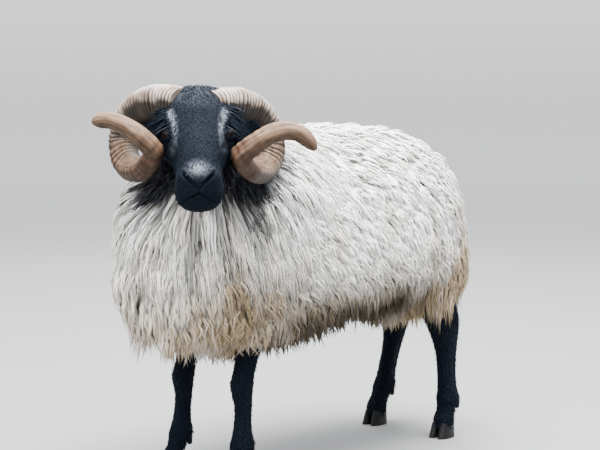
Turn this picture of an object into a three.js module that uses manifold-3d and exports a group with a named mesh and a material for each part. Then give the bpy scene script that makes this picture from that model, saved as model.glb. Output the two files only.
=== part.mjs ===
// Horned blackface ram, standing, its head turned to its left.
// Millimetres, +Z up. The animal faces -Y and its left side is +X.
// Every part is worked out in a stance frame, whose origin lies on the ground midway between the
// four feet. The last lines shift the whole animal so that the origin is the middle of its box's foot.
import * as THREE from "three";
import { mergeVertices } from "three/addons/utils/BufferGeometryUtils.js";
import Module from "manifold-3d";

const wasm = await Module();
wasm.setup();

// ---------- driving sizes ----------

const GAP = 0.3; // clear space between neighbouring parts

const TRUNK = {
  length: 1040, // fleece of the breast to fleece of the rump
  middle: -34, // middle of that length, behind the middle of the feet
  planPower: 2.5, // fullness of the outline seen from above
  backPower: 3.5, // fullness of the back line at breast and rump
  hemPower: 3.8, // fullness of the hem at breast and rump
  sectionPower: 2.35, // fullness of the cross section
  rumpLean: 44, // how much farther back the britch stands than the croup
};
// [place from the breast, -1, to the rump, 1; back line; middle; hem; half width] over the fleece
const TRUNK_LINES = [
  [-1, 735, 500, 274, 246], [-0.62, 778, 515, 261, 260], [-0.15, 783, 525, 282, 257],
  [0.4, 785, 525, 288, 252], [0.76, 774, 505, 270, 242], [1, 726, 480, 262, 230],
];

const HEAD = {
  eyes: new THREE.Vector3(150, -516, 777), // midway between the two eyes
  yaw: 45.8, // degrees turned to the left of straight ahead
  faceSlope: 53, // degrees that the line of the face drops below level
  tilt: 0.8, // degrees leaning to its own right
  eyeAt: [17, 12, 57], // along the face, out of it and to the side
  eyeRadius: 15,
};

const NECK_ROOT = new THREE.Vector3(4, -232, 590);
const NECK_BEND = new THREE.Vector3(40, -368, 712);

const LEG_BASE = 716; // from fore feet to hind feet
const FORE_SPREAD = 186; // between the fore feet
const HIND_SPREAD = 224; // between the hind feet
const CLAW = { length: 60, width: 25.5, height: 40, heel: 24, cleft: 2.4 };

// ---------- small tools ----------

const rad = THREE.MathUtils.degToRad;
const clamp = THREE.MathUtils.clamp;

// A smooth curve through rows of [place, value, value, ...], by cubic Hermite pieces.
function through(rows, place) {
  let i = rows.findIndex((row) => row[0] >= place);
  i = clamp(i < 0 ? rows.length - 1 : i, 1, rows.length - 1);
  const [a, b] = [rows[i - 1], rows[i]];
  const before = rows[i - 2] ?? a;
  const after = rows[i + 1] ?? b;
  const span = b[0] - a[0];
  const t = clamp((place - a[0]) / span, 0, 1);
  return a.slice(1).map((start, k) => {
    const end = b[k + 1];
    const slopeA = ((end - before[k + 1]) / (b[0] - before[0])) * span;
    const slopeB = ((after[k + 1] - start) / (after[0] - a[0])) * span;
    const bend = (2 * t - 3) * t * t;
    return start * (1 + bend) - end * bend + slopeA * t * (t - 1) ** 2 + slopeB * t * t * (t - 1);
  });
}

// A rounded box outline: cosine and sine raised so that power 2 is an ellipse.
function rounded(angle, power) {
  const c = Math.cos(angle);
  const s = Math.sin(angle);
  return [Math.sign(c) * Math.abs(c) ** (2 / power), Math.sign(s) * Math.abs(s) ** (2 / power)];
}

// Skins a row of rings of equal count, and closes both ends with a fan to the ring's middle.
function skinRings(rings) {
  const sides = rings[0].length;
  const points = rings.flat();
  const index = [];
  for (let r = 0; r + 1 < rings.length; r++) {
    for (let s = 0; s < sides; s++) {
      const a = r * sides + s;
      const b = r * sides + ((s + 1) % sides);
      index.push(a, b, b + sides, a, b + sides, a + sides);
    }
  }
  for (const [ring, flip] of [[0, true], [rings.length - 1, false]]) {
    const middle = points.length;
    const sum = rings[ring].reduce((total, point) => total.add(point), new THREE.Vector3());
    points.push(sum.divideScalar(sides));
    for (let s = 0; s < sides; s++) {
      const a = ring * sides + s;
      const b = ring * sides + ((s + 1) % sides);
      index.push(...(flip ? [b, a, middle] : [a, b, middle]));
    }
  }
  const geometry = new THREE.BufferGeometry().setFromPoints(points);
  geometry.setIndex(index);
  return geometry;
}

// Turns a closed mesh into a solid, with its faces pointing out whichever way the rings ran.
function solid(source) {
  const geometry = source.clone();
  geometry.deleteAttribute("normal");
  geometry.deleteAttribute("uv");
  const merged = mergeVertices(geometry, 1e-4);
  const vertProperties = new Float32Array(merged.attributes.position.array);
  const triVerts = new Uint32Array(merged.index.array);
  let volume = 0;
  const corner = (k) => new THREE.Vector3().fromArray(vertProperties, 3 * triVerts[k]);
  for (let k = 0; k < triVerts.length; k += 3) {
    volume += corner(k).dot(corner(k + 1).cross(corner(k + 2)));
  }
  if (volume < 0) triVerts.reverse();
  return new wasm.Manifold(new wasm.Mesh({ numProp: 3, vertProperties, triVerts }));
}

function toGeometry(shape) {
  const mesh = shape.getMesh();
  const geometry = new THREE.BufferGeometry();
  geometry.setAttribute("position", new THREE.BufferAttribute(new Float32Array(mesh.vertProperties), 3));
  geometry.setIndex(new THREE.BufferAttribute(new Uint32Array(mesh.triVerts), 1));
  geometry.computeVertexNormals();
  return geometry;
}

// ---------- trunk and tail ----------

// Rings of rounded section along the body. Width and depth close in to nothing at both ends.
function trunk(grow = 0) {
  const rings = [];
  const count = 25;
  const sides = 26;
  const half = TRUNK.length / 2 + grow;
  for (let r = 0; r <= count; r++) {
    const turn = (0.02 + 0.96 * (r / count)) * Math.PI - Math.PI / 2;
    const along = Math.sign(turn) * Math.abs(Math.sin(turn)) ** (2 / TRUNK.planPower);
    const wide = Math.abs(Math.cos(turn)) ** (2 / TRUNK.planPower);
    const close = (power) => (1 - Math.abs(along) ** power) ** (1 / power);
    const above = close(TRUNK.backPower);
    const below = close(TRUNK.hemPower);
    const rear = Math.max(0, along);
    const [back, middle, hem, halfWidth] = through(TRUNK_LINES, along);
    rings.push([]);
    for (let s = 0; s < sides; s++) {
      const [across, up] = rounded((2 * Math.PI * s) / sides, TRUNK.sectionPower);
      const tall = up > 0 ? above : below;
      const lean = -TRUNK.rumpLean * rear ** 3 * up * tall;
      const croup = 0.1 + 0.2 * rear ** 2; // the croup is narrower than the back
      const narrow = 1 - croup * Math.max(0, up) ** 2 - 0.12 * Math.max(0, -up) ** 3;
      const depth = tall * (up > 0 ? back - middle : middle - hem);
      rings[r].push(new THREE.Vector3(
        across * narrow * (halfWidth * wide + grow),
        TRUNK.middle + half * along + lean,
        middle + up * (depth + grow),
      ));
    }
  }
  return skinRings(rings);
}

// The woolly tail hangs from the croup to about the hocks, close to the britch.
function tail() {
  const drop = [[0, 366, 730, 26, 18], [0.22, 434, 690, 38, 24], [0.45, 472, 612, 46, 28],
    [0.7, 496, 510, 44, 28], [0.9, 504, 425, 34, 22], [1, 500, 388, 12, 8]];
  const rings = [];
  for (let r = 0; r <= 10; r++) {
    const [y, z, wide, thick] = through(drop, r / 10);
    const [yNext, zNext] = through(drop, r / 10 + 0.01);
    const [yLast, zLast] = through(drop, r / 10 - 0.01);
    const down = new THREE.Vector3(0, yNext - yLast, zNext - zLast).normalize();
    const out = new THREE.Vector3(1, 0, 0).cross(down);
    rings.push([]);
    for (let s = 0; s < 10; s++) {
      const [a, b] = rounded((2 * Math.PI * s) / 10, 2);
      rings[r].push(new THREE.Vector3(a * wide, y, z).addScaledVector(out, b * thick));
    }
  }
  return skinRings(rings);
}

// ---------- neck ----------

// [along, wide, up, down]: half sizes of the fleece round the neck, from the shoulders to the poll
const NECK_SIZES = [[0, 176, 140, 200], [0.35, 164, 124, 200], [0.7, 110, 84, 166], [1, 70, 38, 96]];

function neck(grow = 0) {
  const path = new THREE.QuadraticBezierCurve3(NECK_ROOT, NECK_BEND, headPoint(-84, -38, 0));
  const rings = [];
  for (let r = 0; r <= 12; r++) {
    const [wide, up, down] = through(NECK_SIZES, r / 12);
    const place = path.getPoint(r / 12);
    const ahead = path.getTangent(r / 12);
    const side = new THREE.Vector3().crossVectors(ahead, new THREE.Vector3(0, 0, 1)).normalize();
    const above = new THREE.Vector3().crossVectors(side, ahead);
    rings.push([]);
    for (let s = 0; s < 24; s++) {
      const [a, b] = rounded((2 * Math.PI * s) / 24, 2.1);
      const narrow = 1 - 0.24 * b; // the crest is narrower than the throat
      const point = place.clone().addScaledVector(side, a * (wide * narrow + grow));
      rings[r].push(point.addScaledVector(above, b * ((b > 0 ? up : down) + grow)));
    }
    if (r === 0) rings[0].forEach((point) => point.addScaledVector(ahead, -grow));
    if (r === 12) rings[12].forEach((point) => point.addScaledVector(ahead, grow));
  }
  return skinRings(rings);
}

// ---------- head ----------

// Head axes: u runs down the face, v stands out of the face, w is the animal's left.
const forward = new THREE.Vector3(Math.sin(rad(HEAD.yaw)), -Math.cos(rad(HEAD.yaw)), 0);
const left = new THREE.Vector3(Math.cos(rad(HEAD.yaw)), Math.sin(rad(HEAD.yaw)), 0);
const up = new THREE.Vector3(0, 0, 1);
left.applyAxisAngle(forward, rad(HEAD.tilt));
up.applyAxisAngle(forward, rad(HEAD.tilt));
const alongFace = forward.clone().multiplyScalar(Math.cos(rad(HEAD.faceSlope)));
alongFace.addScaledVector(up, -Math.sin(rad(HEAD.faceSlope)));
const outOfFace = forward.clone().multiplyScalar(Math.sin(rad(HEAD.faceSlope)));
outOfFace.addScaledVector(up, Math.cos(rad(HEAD.faceSlope)));

function headPoint(u, v, w) {
  return HEAD.eyes.clone().addScaledVector(alongFace, u).addScaledVector(outOfFace, v)
    .addScaledVector(left, w);
}

// A point level with the eyes' line: ahead, above and to the side of their middle.
function browPoint(ahead, above, side) {
  return HEAD.eyes.clone().addScaledVector(forward, ahead).addScaledVector(up, above)
    .addScaledVector(left, side);
}

// [u, face line, jaw line, half width, fullness of the section] from the poll to the lips
const HEAD_LINES = [
  [-98, 24, -62, 56, 2.1], [-84, 41, -92, 68, 2.3], [-60, 51, -118, 77, 2.4],
  [-30, 54, -122, 81, 2.5], [0, 51, -112, 80, 2.4], [30, 48, -94, 67, 2.3],
  [60, 46, -76, 52, 2.4], [95, 41, -64, 45, 2.5], [125, 32, -61, 47, 2.5],
  [148, 15, -56, 45, 2.4], [163, -4, -49, 34, 2.3], [170, -17, -41, 22, 2.1],
];

function head(grow = 0) {
  const first = HEAD_LINES[0][0];
  const last = HEAD_LINES.at(-1)[0];
  const rings = [];
  const count = 22;
  const sides = 22;
  for (let r = 0; r <= count; r++) {
    const u = first + ((last - first) * r) / count;
    const [face, jaw, wide, power] = through(HEAD_LINES, u);
    const middle = (face + jaw) / 2;
    rings.push([]);
    for (let s = 0; s < sides; s++) {
      const [a, b] = rounded((2 * Math.PI * s) / sides, power);
      const taper = 1 - 0.22 * Math.max(0, -b) ** 2; // narrower between the jaws
      const reach = r === 0 ? -grow : r === count ? grow : 0;
      rings[r].push(headPoint(u + reach, middle + b * ((face - jaw) / 2 + grow), a * (wide * taper + grow)));
    }
  }
  return skinRings(rings);
}

function eye(side, grow = 0) {
  const ball = new THREE.SphereGeometry(HEAD.eyeRadius + grow, 12, 8);
  const [along, out, across] = HEAD.eyeAt;
  const place = headPoint(along, out, side * across);
  return ball.translate(place.x, place.y, place.z);
}

// A leaf-shaped ear, carried out and back through the curl of the horn.
function ear(side) {
  const root = browPoint(-50, 8, side * 58);
  const tip = browPoint(-86, 0, side * 130);
  const along = tip.clone().sub(root).normalize();
  const flat = new THREE.Vector3().crossVectors(along, up).normalize();
  const edge = new THREE.Vector3().crossVectors(flat, along);
  const rings = [];
  for (let r = 0; r <= 8; r++) {
    const t = r / 8;
    const half = 4 + 20 * Math.sin(Math.PI * t ** 0.85) ** 0.8;
    const place = root.clone().lerp(tip, t).addScaledVector(up, -8 * t * t);
    rings.push([]);
    for (let s = 0; s < 10; s++) {
      const [a, b] = rounded((2 * Math.PI * s) / 10, 2);
      const cup = 5 * a * a;
      rings[r].push(place.clone().addScaledVector(edge, a * half).addScaledVector(flat, 3.5 * b + cup));
    }
  }
  return skinRings(rings);
}

// ---------- horns ----------

// Each horn leaves the top of the head, goes back, down and forward round the ear, and turns
// outwards at its tip. turn is the angle at the root and at the tip, measured forward through up;
// the coil's circle lies beside the head, and spread is how far out the horn stands.
const HORNS = {
  right: { spread: 121, middle: -10, lift: 20, droop: 34, flare: 124, flareFrom: 0.808 },
  left: { spread: 114, middle: -17, lift: 12, droop: 80, flare: 157, flareFrom: 0.79 },
};
const HORN = {
  turn: [62, 400], // degrees at the root and at the tip, from ahead, over the top and round
  reach: 85, // radius fore and aft
  rise: 68, // radius up and down
  centre: -54, // behind the eyes
  lean: 40, // how much farther out the back of the coil stands than its middle
  leanAt: 190, // where on the coil it stands farthest out
  rootIn: 60, // the root lies this much nearer the middle of the head
  half: [36, 15], // half thickness at the root and at the tip
  flat: 0.85, // thickness across the coil's plane, as a part of that
};

function horn(side, form, grow = 0) {
  const { lerp } = THREE.MathUtils;
  const place = (t) => {
    const angle = rad(lerp(...HORN.turn, t));
    const flare = Math.max(0, (t - form.flareFrom) / (1 - form.flareFrom));
    const root = (1 - t) ** 6;
    const out = form.spread + HORN.lean * Math.cos(angle - rad(HORN.leanAt))
      - HORN.rootIn * root + form.flare * flare ** 1.15;
    const above = form.middle + HORN.rise * Math.sin(angle) + 3 * root
      + form.lift * flare - form.droop * flare ** 4.8;
    return browPoint(HORN.centre + HORN.reach * Math.cos(angle), above, side * out);
  };
  const curve = new (class extends THREE.Curve {
    getPoint(t) {
      return place(t);
    }
  })();
  const across = left.clone().multiplyScalar(side); // carried along the horn without twisting
  const rings = [];
  const count = 35;
  const sides = 10;
  for (let r = 0; r <= count; r++) {
    const t = curve.getUtoTmapping(r / count);
    const ahead = curve.getTangent(t);
    across.addScaledVector(ahead, -across.dot(ahead)).normalize();
    const round = new THREE.Vector3().crossVectors(ahead, across);
    const blunt = Math.sqrt(1 - Math.max(0, (t - 0.96) / 0.044) ** 2);
    const half = lerp(...HORN.half, t ** 1.5) * blunt;
    rings.push([]);
    for (let s = 0; s < sides; s++) {
      const [a, b] = rounded((2 * Math.PI * s) / sides, 2.4);
      const point = place(t).addScaledVector(across, a * (half * HORN.flat + grow));
      rings[r].push(point.addScaledVector(round, b * (half + grow)));
    }
  }
  return skinRings(rings);
}

// ---------- legs ----------

// [height, behind the foot, half width, half depth] up each kind of leg
const FORE_LEG = [
  [34, -17, 25, 24], [50, -14, 24, 23], [66, -6, 20, 20], [84, 2, 22, 25], [96, 5, 24, 28],
  [112, 5, 21, 25], [140, 3, 18, 21], [180, 1, 18, 21], [206, -4, 22, 24], [226, -7, 25, 26],
  [248, -4, 24, 25], [290, 6, 24, 26], [340, 16, 28, 34], [420, 30, 40, 50],
];
const HIND_LEG = [
  [34, -15, 26, 25], [50, -12, 25, 25], [66, -5, 23, 24], [84, 4, 24, 29], [96, 7, 26, 32],
  [112, 7, 23, 30], [140, 7, 21, 28], [180, 9, 21, 29], [220, 11, 23, 33], [262, 8, 27, 41],
  [296, -2, 31, 50], [330, -25, 35, 56], [420, -92, 45, 66],
];
const FEET = {
  fore_right: { rows: FORE_LEG, x: -FORE_SPREAD / 2, y: -LEG_BASE / 2 + 4, lean: 28, inward: 4 },
  fore_left: { rows: FORE_LEG, x: FORE_SPREAD / 2, y: -LEG_BASE / 2 + 14, lean: 12, inward: -6 },
  hind_right: { rows: HIND_LEG, x: -HIND_SPREAD / 2, y: LEG_BASE / 2 + 26, lean: 56, inward: 0 },
  hind_left: { rows: HIND_LEG, x: HIND_SPREAD / 2, y: LEG_BASE / 2 + 18, lean: -22, inward: 0 },
};

// Where the leg's middle is at a height, with its half sizes.
function legPlace(foot, height) {
  const [behind, wide, deep] = through(foot.rows, height);
  const rise = clamp((height - 60) / 200, 0, 1) * (1 - clamp((height - 300) / 200, 0, 1));
  const x = foot.x - Math.sign(foot.x) * foot.inward * rise;
  return { x, y: foot.y + behind + foot.lean * rise, wide, deep };
}

function leg(foot, grow = 0) {
  const low = foot.rows[0][0];
  const high = foot.rows.at(-1)[0];
  const rings = [];
  const count = 15;
  const sides = 10;
  for (let r = 0; r <= count; r++) {
    const z = low + (high - low) * (r / count) ** 1.25;
    const { x, y, wide, deep } = legPlace(foot, z);
    rings.push([]);
    for (let s = 0; s < sides; s++) {
      const [a, b] = rounded((2 * Math.PI * s) / sides, 2.2);
      rings[r].push(new THREE.Vector3(x + a * (wide + grow), y + b * (deep + grow), z - (r ? 0 : grow)));
    }
  }
  return skinRings(rings);
}

// A claw: a flat sole, an upright inner wall, a sloping toe and a lower heel.
function claw(foot, side) {
  const rings = [];
  const count = 4;
  const sides = 10;
  for (let r = 0; r <= count; r++) {
    const t = r / count;
    rings.push([]);
    for (let s = 0; s < sides; s++) {
      const [a, b] = rounded((2 * Math.PI * (s + 0.5)) / sides, 2.5);
      const toe = b < 0 ? 1 : 0; // the toe slopes back as it rises, the heel stays upright
      const long = (CLAW.length / 2) * (1 - 0.52 * t * toe);
      const wide = (CLAW.width / 2) * (1 - 0.1 * t) * (1 - 0.3 * toe * b * b);
      const inner = CLAW.cleft / 2 + CLAW.width / 2 + wide * a - 0.1 * t * CLAW.width * 0.5;
      const height = t * THREE.MathUtils.lerp(CLAW.heel, CLAW.height, (1 - b) / 2);
      rings[r].push(new THREE.Vector3(
        foot.x + side * Math.max(CLAW.cleft / 2, inner),
        foot.y - 22 + b * long,
        height,
      ));
    }
  }
  return skinRings(rings);
}

// A dewclaw: a short blunt cone hanging behind the fetlock, its point down.
function dewclaw(foot, side) {
  const { x, y, deep } = legPlace(foot, 86);
  const cone = new THREE.CylinderGeometry(8.5, 4.5, 18, 8);
  cone.rotateX(rad(106));
  return cone.translate(x + side * 12, y + deep - 6, 76);
}

// ---------- putting the parts together ----------

const ram = new THREE.Group();

function add(name, shape, colour, roughness) {
  const material = new THREE.MeshStandardMaterial({ color: colour, roughness, metalness: 0 });
  const mesh = new THREE.Mesh(toGeometry(shape), material);
  mesh.name = name;
  ram.add(mesh);
  return mesh;
}

const WOOL = [0xe6dfd0, 0.95];
const BLACK = [0x17181c, 0.75];
const HORNY = [0xc9a886, 0.55];
const HOOF = [0x3a3836, 0.5];
const EYE = [0x1a120c, 0.1];

const sides = [["right", -1], ["left", 1]];
const headCut = solid(head(GAP));
const neckCut = solid(neck(GAP));
const trunkCut = solid(trunk(GAP));

let neckShape = solid(neck()).subtract(trunkCut).subtract(headCut);
let headShape = solid(head());
for (const [word, side] of sides) {
  const hornShape = solid(horn(side, HORNS[word])).subtract(headCut).subtract(trunkCut);
  const hornCut = solid(horn(side, HORNS[word], GAP));
  neckShape = neckShape.subtract(hornCut);
  headShape = headShape.subtract(solid(eye(side, GAP)));
  add(`horn_${word}`, hornShape, ...HORNY);
  add(`eye_${word}`, solid(eye(side)), ...EYE);
  add(`ear_${word}`, solid(ear(side)).subtract(headCut).subtract(neckCut).subtract(hornCut), ...BLACK);
}
add("trunk", solid(trunk()), ...WOOL);
add("neck", neckShape, ...WOOL);
add("head", headShape, ...BLACK);
add("tail", solid(tail()).subtract(trunkCut), ...WOOL);
for (const [word, foot] of Object.entries(FEET)) {
  const legCut = solid(leg(foot, GAP));
  const legShape = solid(leg(foot)).subtract(trunkCut).subtract(neckCut);
  for (const [clawWord, side] of sides) {
    add(`claw_${word}_${clawWord}`, solid(claw(foot, side)).subtract(legCut), ...HOOF);
    add(`dewclaw_${word}_${clawWord}`, solid(dewclaw(foot, side)).subtract(legCut), ...HOOF);
  }
  add(`leg_${word}`, legShape, ...BLACK);
}

const box = new THREE.Box3().setFromObject(ram);
ram.position.set(-(box.min.x + box.max.x) / 2, -(box.min.y + box.max.y) / 2, -box.min.z);

export default ram;
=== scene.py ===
"""A horned blackface ram in full fleece, standing with its head turned to its left.

Metres, +Z up. The ram faces -Y and its left side is +X. Shapes are worked out in a stance frame,
whose origin lies on the ground midway between the feet, and moved by SHIFT to where the solids are.
Every surface is a grid of points: axis 0 runs along the form, axis 1 runs around it.
"""

import bpy
import numpy as np
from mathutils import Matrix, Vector


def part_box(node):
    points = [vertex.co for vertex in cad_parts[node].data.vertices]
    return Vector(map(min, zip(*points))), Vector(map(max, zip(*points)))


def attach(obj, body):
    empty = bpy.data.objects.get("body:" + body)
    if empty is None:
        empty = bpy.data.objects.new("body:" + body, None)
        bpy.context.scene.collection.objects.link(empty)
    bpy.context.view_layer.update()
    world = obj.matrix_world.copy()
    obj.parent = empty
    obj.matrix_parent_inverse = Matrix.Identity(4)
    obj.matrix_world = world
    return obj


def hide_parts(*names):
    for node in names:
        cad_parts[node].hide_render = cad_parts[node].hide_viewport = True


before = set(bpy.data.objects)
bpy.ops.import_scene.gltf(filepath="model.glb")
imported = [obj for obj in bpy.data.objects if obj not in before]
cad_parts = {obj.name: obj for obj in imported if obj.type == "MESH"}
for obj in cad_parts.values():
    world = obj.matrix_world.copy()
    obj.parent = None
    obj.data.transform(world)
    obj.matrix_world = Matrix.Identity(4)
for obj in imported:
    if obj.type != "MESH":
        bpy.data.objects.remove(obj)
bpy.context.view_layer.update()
# part of the coat's locks that is grown
LESS = 1.0
MM = 0.001
SIDES = (("right", -1), ("left", 1))
# points along and around each form
GRID = dict(trunk=(64, 72), neck=(28, 64), neck_roots=(40, 64), tail=(24, 20), leg=(72, 40), ear=(24, 28),
            head=(200, 200), head_roots=(120, 120), eye=(56, 64), claw=(34, 44), dewclaw=(18, 20))
UP = np.array([0.0, 0.0, 1.0])
DOWN = -UP


# ---------- small tools ----------

def unit(v):
    """v divided by its own length."""
    return v / np.maximum(np.linalg.norm(v, axis=-1, keepdims=True), 1e-12)


def dot(a, b):
    """Inner product along the last axis, kept as an axis of one."""
    return (a * b).sum(-1, keepdims=True)


def together(*values):
    """Values broadcast to one shape and put side by side along a new last axis."""
    return np.stack(np.broadcast_arrays(*values), -1)


def smooth(low, high, x):
    """0 below low, 1 above high, and an even S curve between."""
    t = np.clip((x - low) / (high - low), 0, 1)
    return t * t * (3 - 2 * t)


def bell(*away):
    """1 where every part of away is 0, falling off round it: e to minus the sum of their squares."""
    return np.exp(-sum(part ** 2 for part in away))


def spot(p, row):
    """A soft spot of markings: row holds its place and its reach along x, y and z."""
    row = np.array(row)
    return bell(*np.moveaxis((p - row[:3]) / row[3:], -1, 0))


def dome(t, start, width, least=0.0):
    """1 up to start, then down by a quarter circle as wide as width, but not below the root of least."""
    return np.sqrt(np.clip(1 - np.clip((t - start) / width, 0, 1) ** 2, least, 1))


def keep(mask, *arrays):
    """Only the rows where mask is true."""
    return [array[mask] for array in arrays]


def through(rows, place):
    """Smooth curve through rows of [place, value, ...]: cubic Hermite pieces, each slope that of the
    neighbours' chord."""
    rows = np.asarray(rows, float)
    x = np.clip(place, rows[0, 0], rows[-1, 0])
    i = np.clip(np.searchsorted(rows[:, 0], x), 1, len(rows) - 1)
    a, b = rows[i - 1], rows[i]
    before, after = rows[np.maximum(i - 2, 0)], rows[np.minimum(i + 1, len(rows) - 1)]
    span = (b - a)[..., :1]
    t = (x[..., None] - a[..., :1]) / span
    slope_a = (b - before)[..., 1:] / (b - before)[..., :1] * span
    slope_b = (after - a)[..., 1:] / (after - a)[..., :1] * span
    bend = (2 * t - 3) * t * t
    value = a[..., 1:] * (1 + bend) - b[..., 1:] * bend + slope_a * t * (t - 1) ** 2 + slope_b * t * t * (t - 1)
    return np.moveaxis(value, -1, 0)


def rounded(turn, power):
    """Rounded box outline: cosine and sine of a full turn, raised so that power 2 is an ellipse."""
    c, s = np.cos(2 * np.pi * turn), np.sin(2 * np.pi * turn)
    return np.sign(c) * np.abs(c) ** (2 / power), np.sign(s) * np.abs(s) ** (2 / power)


def grid(along, around):
    """Parameters of a tube: t from 0 to 1 along it, and a from 0 up to 1 around it."""
    return np.meshgrid(np.linspace(0, 1, along), np.arange(around) / around, indexing="ij")


def drift(points, size, seed):
    """Slow wandering from -1 to 1: the mean of six sine waves in random directions, about size long."""
    draw = np.random.default_rng(seed)
    waves = unit(draw.normal(size=(6, 3))) * 2 * np.pi / (size * draw.uniform(0.7, 1.5, (6, 1)))
    return np.clip(np.sin(points @ waves.T + draw.uniform(0, 6.28, 6)).mean(-1) * 1.8, -1, 1)


def near_line(points, line):
    """Distance from each point to a line of straight pieces, and how far along it, 0 to 1, that place is."""
    line = np.asarray(line, float)
    best, place = np.full(points.shape[:-1], np.inf), np.zeros(points.shape[:-1])
    for i, (a, b) in enumerate(zip(line[:-1], line[1:])):
        t = np.clip(((points - a) @ (b - a)) / ((b - a) @ (b - a) + 1e-12), 0, 1)
        away = np.linalg.norm(points - a - t[..., None] * (b - a), axis=-1)
        place = np.where(away < best, (i + t) / (len(line) - 1), place)
        best = np.minimum(away, best)
    return best, place


def grid_normals(points):
    """Outward unit normals of a closed tube of points, from the cross product of its two directions."""
    along = np.gradient(points, axis=0)
    around = np.roll(points, -1, 1) - np.roll(points, 1, 1)
    normal = unit(np.cross(around, along))
    outward = dot(normal, points - points.mean(1, keepdims=True)).mean()
    return normal if outward > 0 else -normal


# ---------- the stance: sizes shared with the solids ----------

TRUNK = dict(length=1.040, middle=-0.034, plan=2.5, back=3.5, hem=3.8, section=2.35, lean=0.044)
# [place from breast, -1, to rump, 1; back line; middle; hem; half width] over the fleece
TRUNK_LINES = np.array([
    [-1, 735, 500, 274, 246], [-0.62, 778, 515, 261, 260], [-0.15, 783, 525, 282, 257],
    [0.4, 785, 525, 288, 252], [0.76, 774, 505, 270, 242], [1, 726, 480, 262, 230],
]) * [1, MM, MM, MM, MM]
TAIL_LINES = np.array([
    [0, 366, 730, 26, 18], [0.22, 434, 690, 38, 24], [0.45, 472, 612, 46, 28],
    [0.7, 496, 510, 44, 28], [0.9, 504, 425, 34, 22], [1, 500, 388, 12, 8],
]) * [1, MM, MM, MM, MM]
NECK = dict(section=2.1, crest=0.24)
NECK_PATH = np.array([[4, -232, 590], [40, -368, 712]]) * MM
# [along, wide, up, down] over the fleece, from the shoulders to the poll
NECK_LINES = np.array([
    [0, 176, 140, 200], [0.35, 164, 124, 200], [0.7, 110, 84, 166], [1, 70, 38, 96],
]) * [1, MM, MM, MM]
EYES = np.array([150, -516, 777]) * MM
FACE_YAW, FACE_SLOPE, FACE_TILT = np.radians([45.8, 53, 0.8])
EYE_AT, EYE_RADIUS = np.array([17, 12, 57]) * MM, 15 * MM
# [u, face line, jaw line, half width, fullness] from the poll to the lips
HEAD_LINES = np.array([
    [-98, 24, -62, 56, 2.1], [-84, 41, -92, 68, 2.3], [-60, 51, -118, 77, 2.4],
    [-30, 54, -122, 81, 2.5], [0, 51, -112, 80, 2.4], [30, 48, -94, 67, 2.3],
    [60, 46, -76, 52, 2.4], [95, 41, -64, 45, 2.5], [125, 32, -61, 47, 2.5],
    [148, 15, -56, 45, 2.4], [163, -4, -49, 34, 2.3], [170, -17, -41, 22, 2.1],
]) * [MM, MM, MM, MM, 1]
JAW_TAPER = 0.22
HORNS = {
    "right": dict(side=-1, spread=0.121, middle=-0.010, lift=0.020, droop=0.034, flare=0.124, start=0.808),
    "left": dict(side=1, spread=0.114, middle=-0.017, lift=0.012, droop=0.080, flare=0.157, start=0.79),
}
HORN = dict(turn=(62, 400), reach=0.085, rise=0.068, centre=-0.054, lean=0.040, lean_at=190,
            root_in=0.060, half=(0.036, 0.0172), flat=0.85)
# [height, behind the foot, half width, half depth]
FORE_LEG = np.array([
    [34, -17, 25, 24], [50, -14, 24, 23], [66, -6, 20, 20], [84, 2, 22, 25], [96, 5, 24, 28],
    [112, 5, 21, 25], [140, 3, 18, 21], [180, 1, 18, 21], [206, -4, 22, 24], [226, -7, 25, 26],
    [248, -4, 24, 25], [290, 6, 24, 26], [340, 16, 28, 34], [420, 30, 40, 50],
]) * MM
HIND_LEG = np.array([
    [34, -15, 26, 25], [50, -12, 25, 25], [66, -5, 23, 24], [84, 4, 24, 29], [96, 7, 26, 32],
    [112, 7, 23, 30], [140, 7, 21, 28], [180, 9, 21, 29], [220, 11, 23, 33], [262, 8, 27, 41],
    [296, -2, 31, 50], [330, -25, 35, 56], [420, -92, 45, 66],
]) * MM
FEET = {
    "fore_right": dict(rows=FORE_LEG, x=-0.093, y=-0.354, lean=0.028, inward=0.004),
    "fore_left": dict(rows=FORE_LEG, x=0.093, y=-0.344, lean=0.012, inward=-0.006),
    "hind_right": dict(rows=HIND_LEG, x=-0.112, y=0.384, lean=0.056, inward=0),
    "hind_left": dict(rows=HIND_LEG, x=0.112, y=0.376, lean=-0.022, inward=0),
}
CLAW = dict(length=0.060, width=0.0255, height=0.040, heel=0.024, cleft=0.0024)

# Head axes: u runs down the face, v stands out of it, w is the ram's left.
FORWARD = np.array([np.sin(FACE_YAW), -np.cos(FACE_YAW), 0])
LEVEL_LEFT = np.array([np.cos(FACE_YAW), np.sin(FACE_YAW), 0])
LEFT = LEVEL_LEFT * np.cos(FACE_TILT) + np.cross(FORWARD, LEVEL_LEFT) * np.sin(FACE_TILT)
HEAD_UP = UP * np.cos(FACE_TILT) + np.cross(FORWARD, UP) * np.sin(FACE_TILT)
ALONG_FACE = FORWARD * np.cos(FACE_SLOPE) - HEAD_UP * np.sin(FACE_SLOPE)
OUT_OF_FACE = FORWARD * np.sin(FACE_SLOPE) + HEAD_UP * np.cos(FACE_SLOPE)
HEAD_AXES = np.array([ALONG_FACE, OUT_OF_FACE, LEFT])
BROW_AXES = np.array([FORWARD, HEAD_UP, LEFT])
NECK_PATH = np.vstack([NECK_PATH, EYES + np.array([-84, -38, 0]) * MM @ HEAD_AXES])

eye_low, eye_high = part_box("eye_left")
SHIFT = np.array((eye_low + eye_high) / 2) - (EYES + EYE_AT @ HEAD_AXES)


def from_head(uvw):
    """Stance place of a point given down the face, out of the face and to the left."""
    return EYES + uvw @ HEAD_AXES


def to_head(points):
    """Down the face, out of the face and to the left, of a stance place."""
    return (points - EYES) @ HEAD_AXES.T


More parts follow.
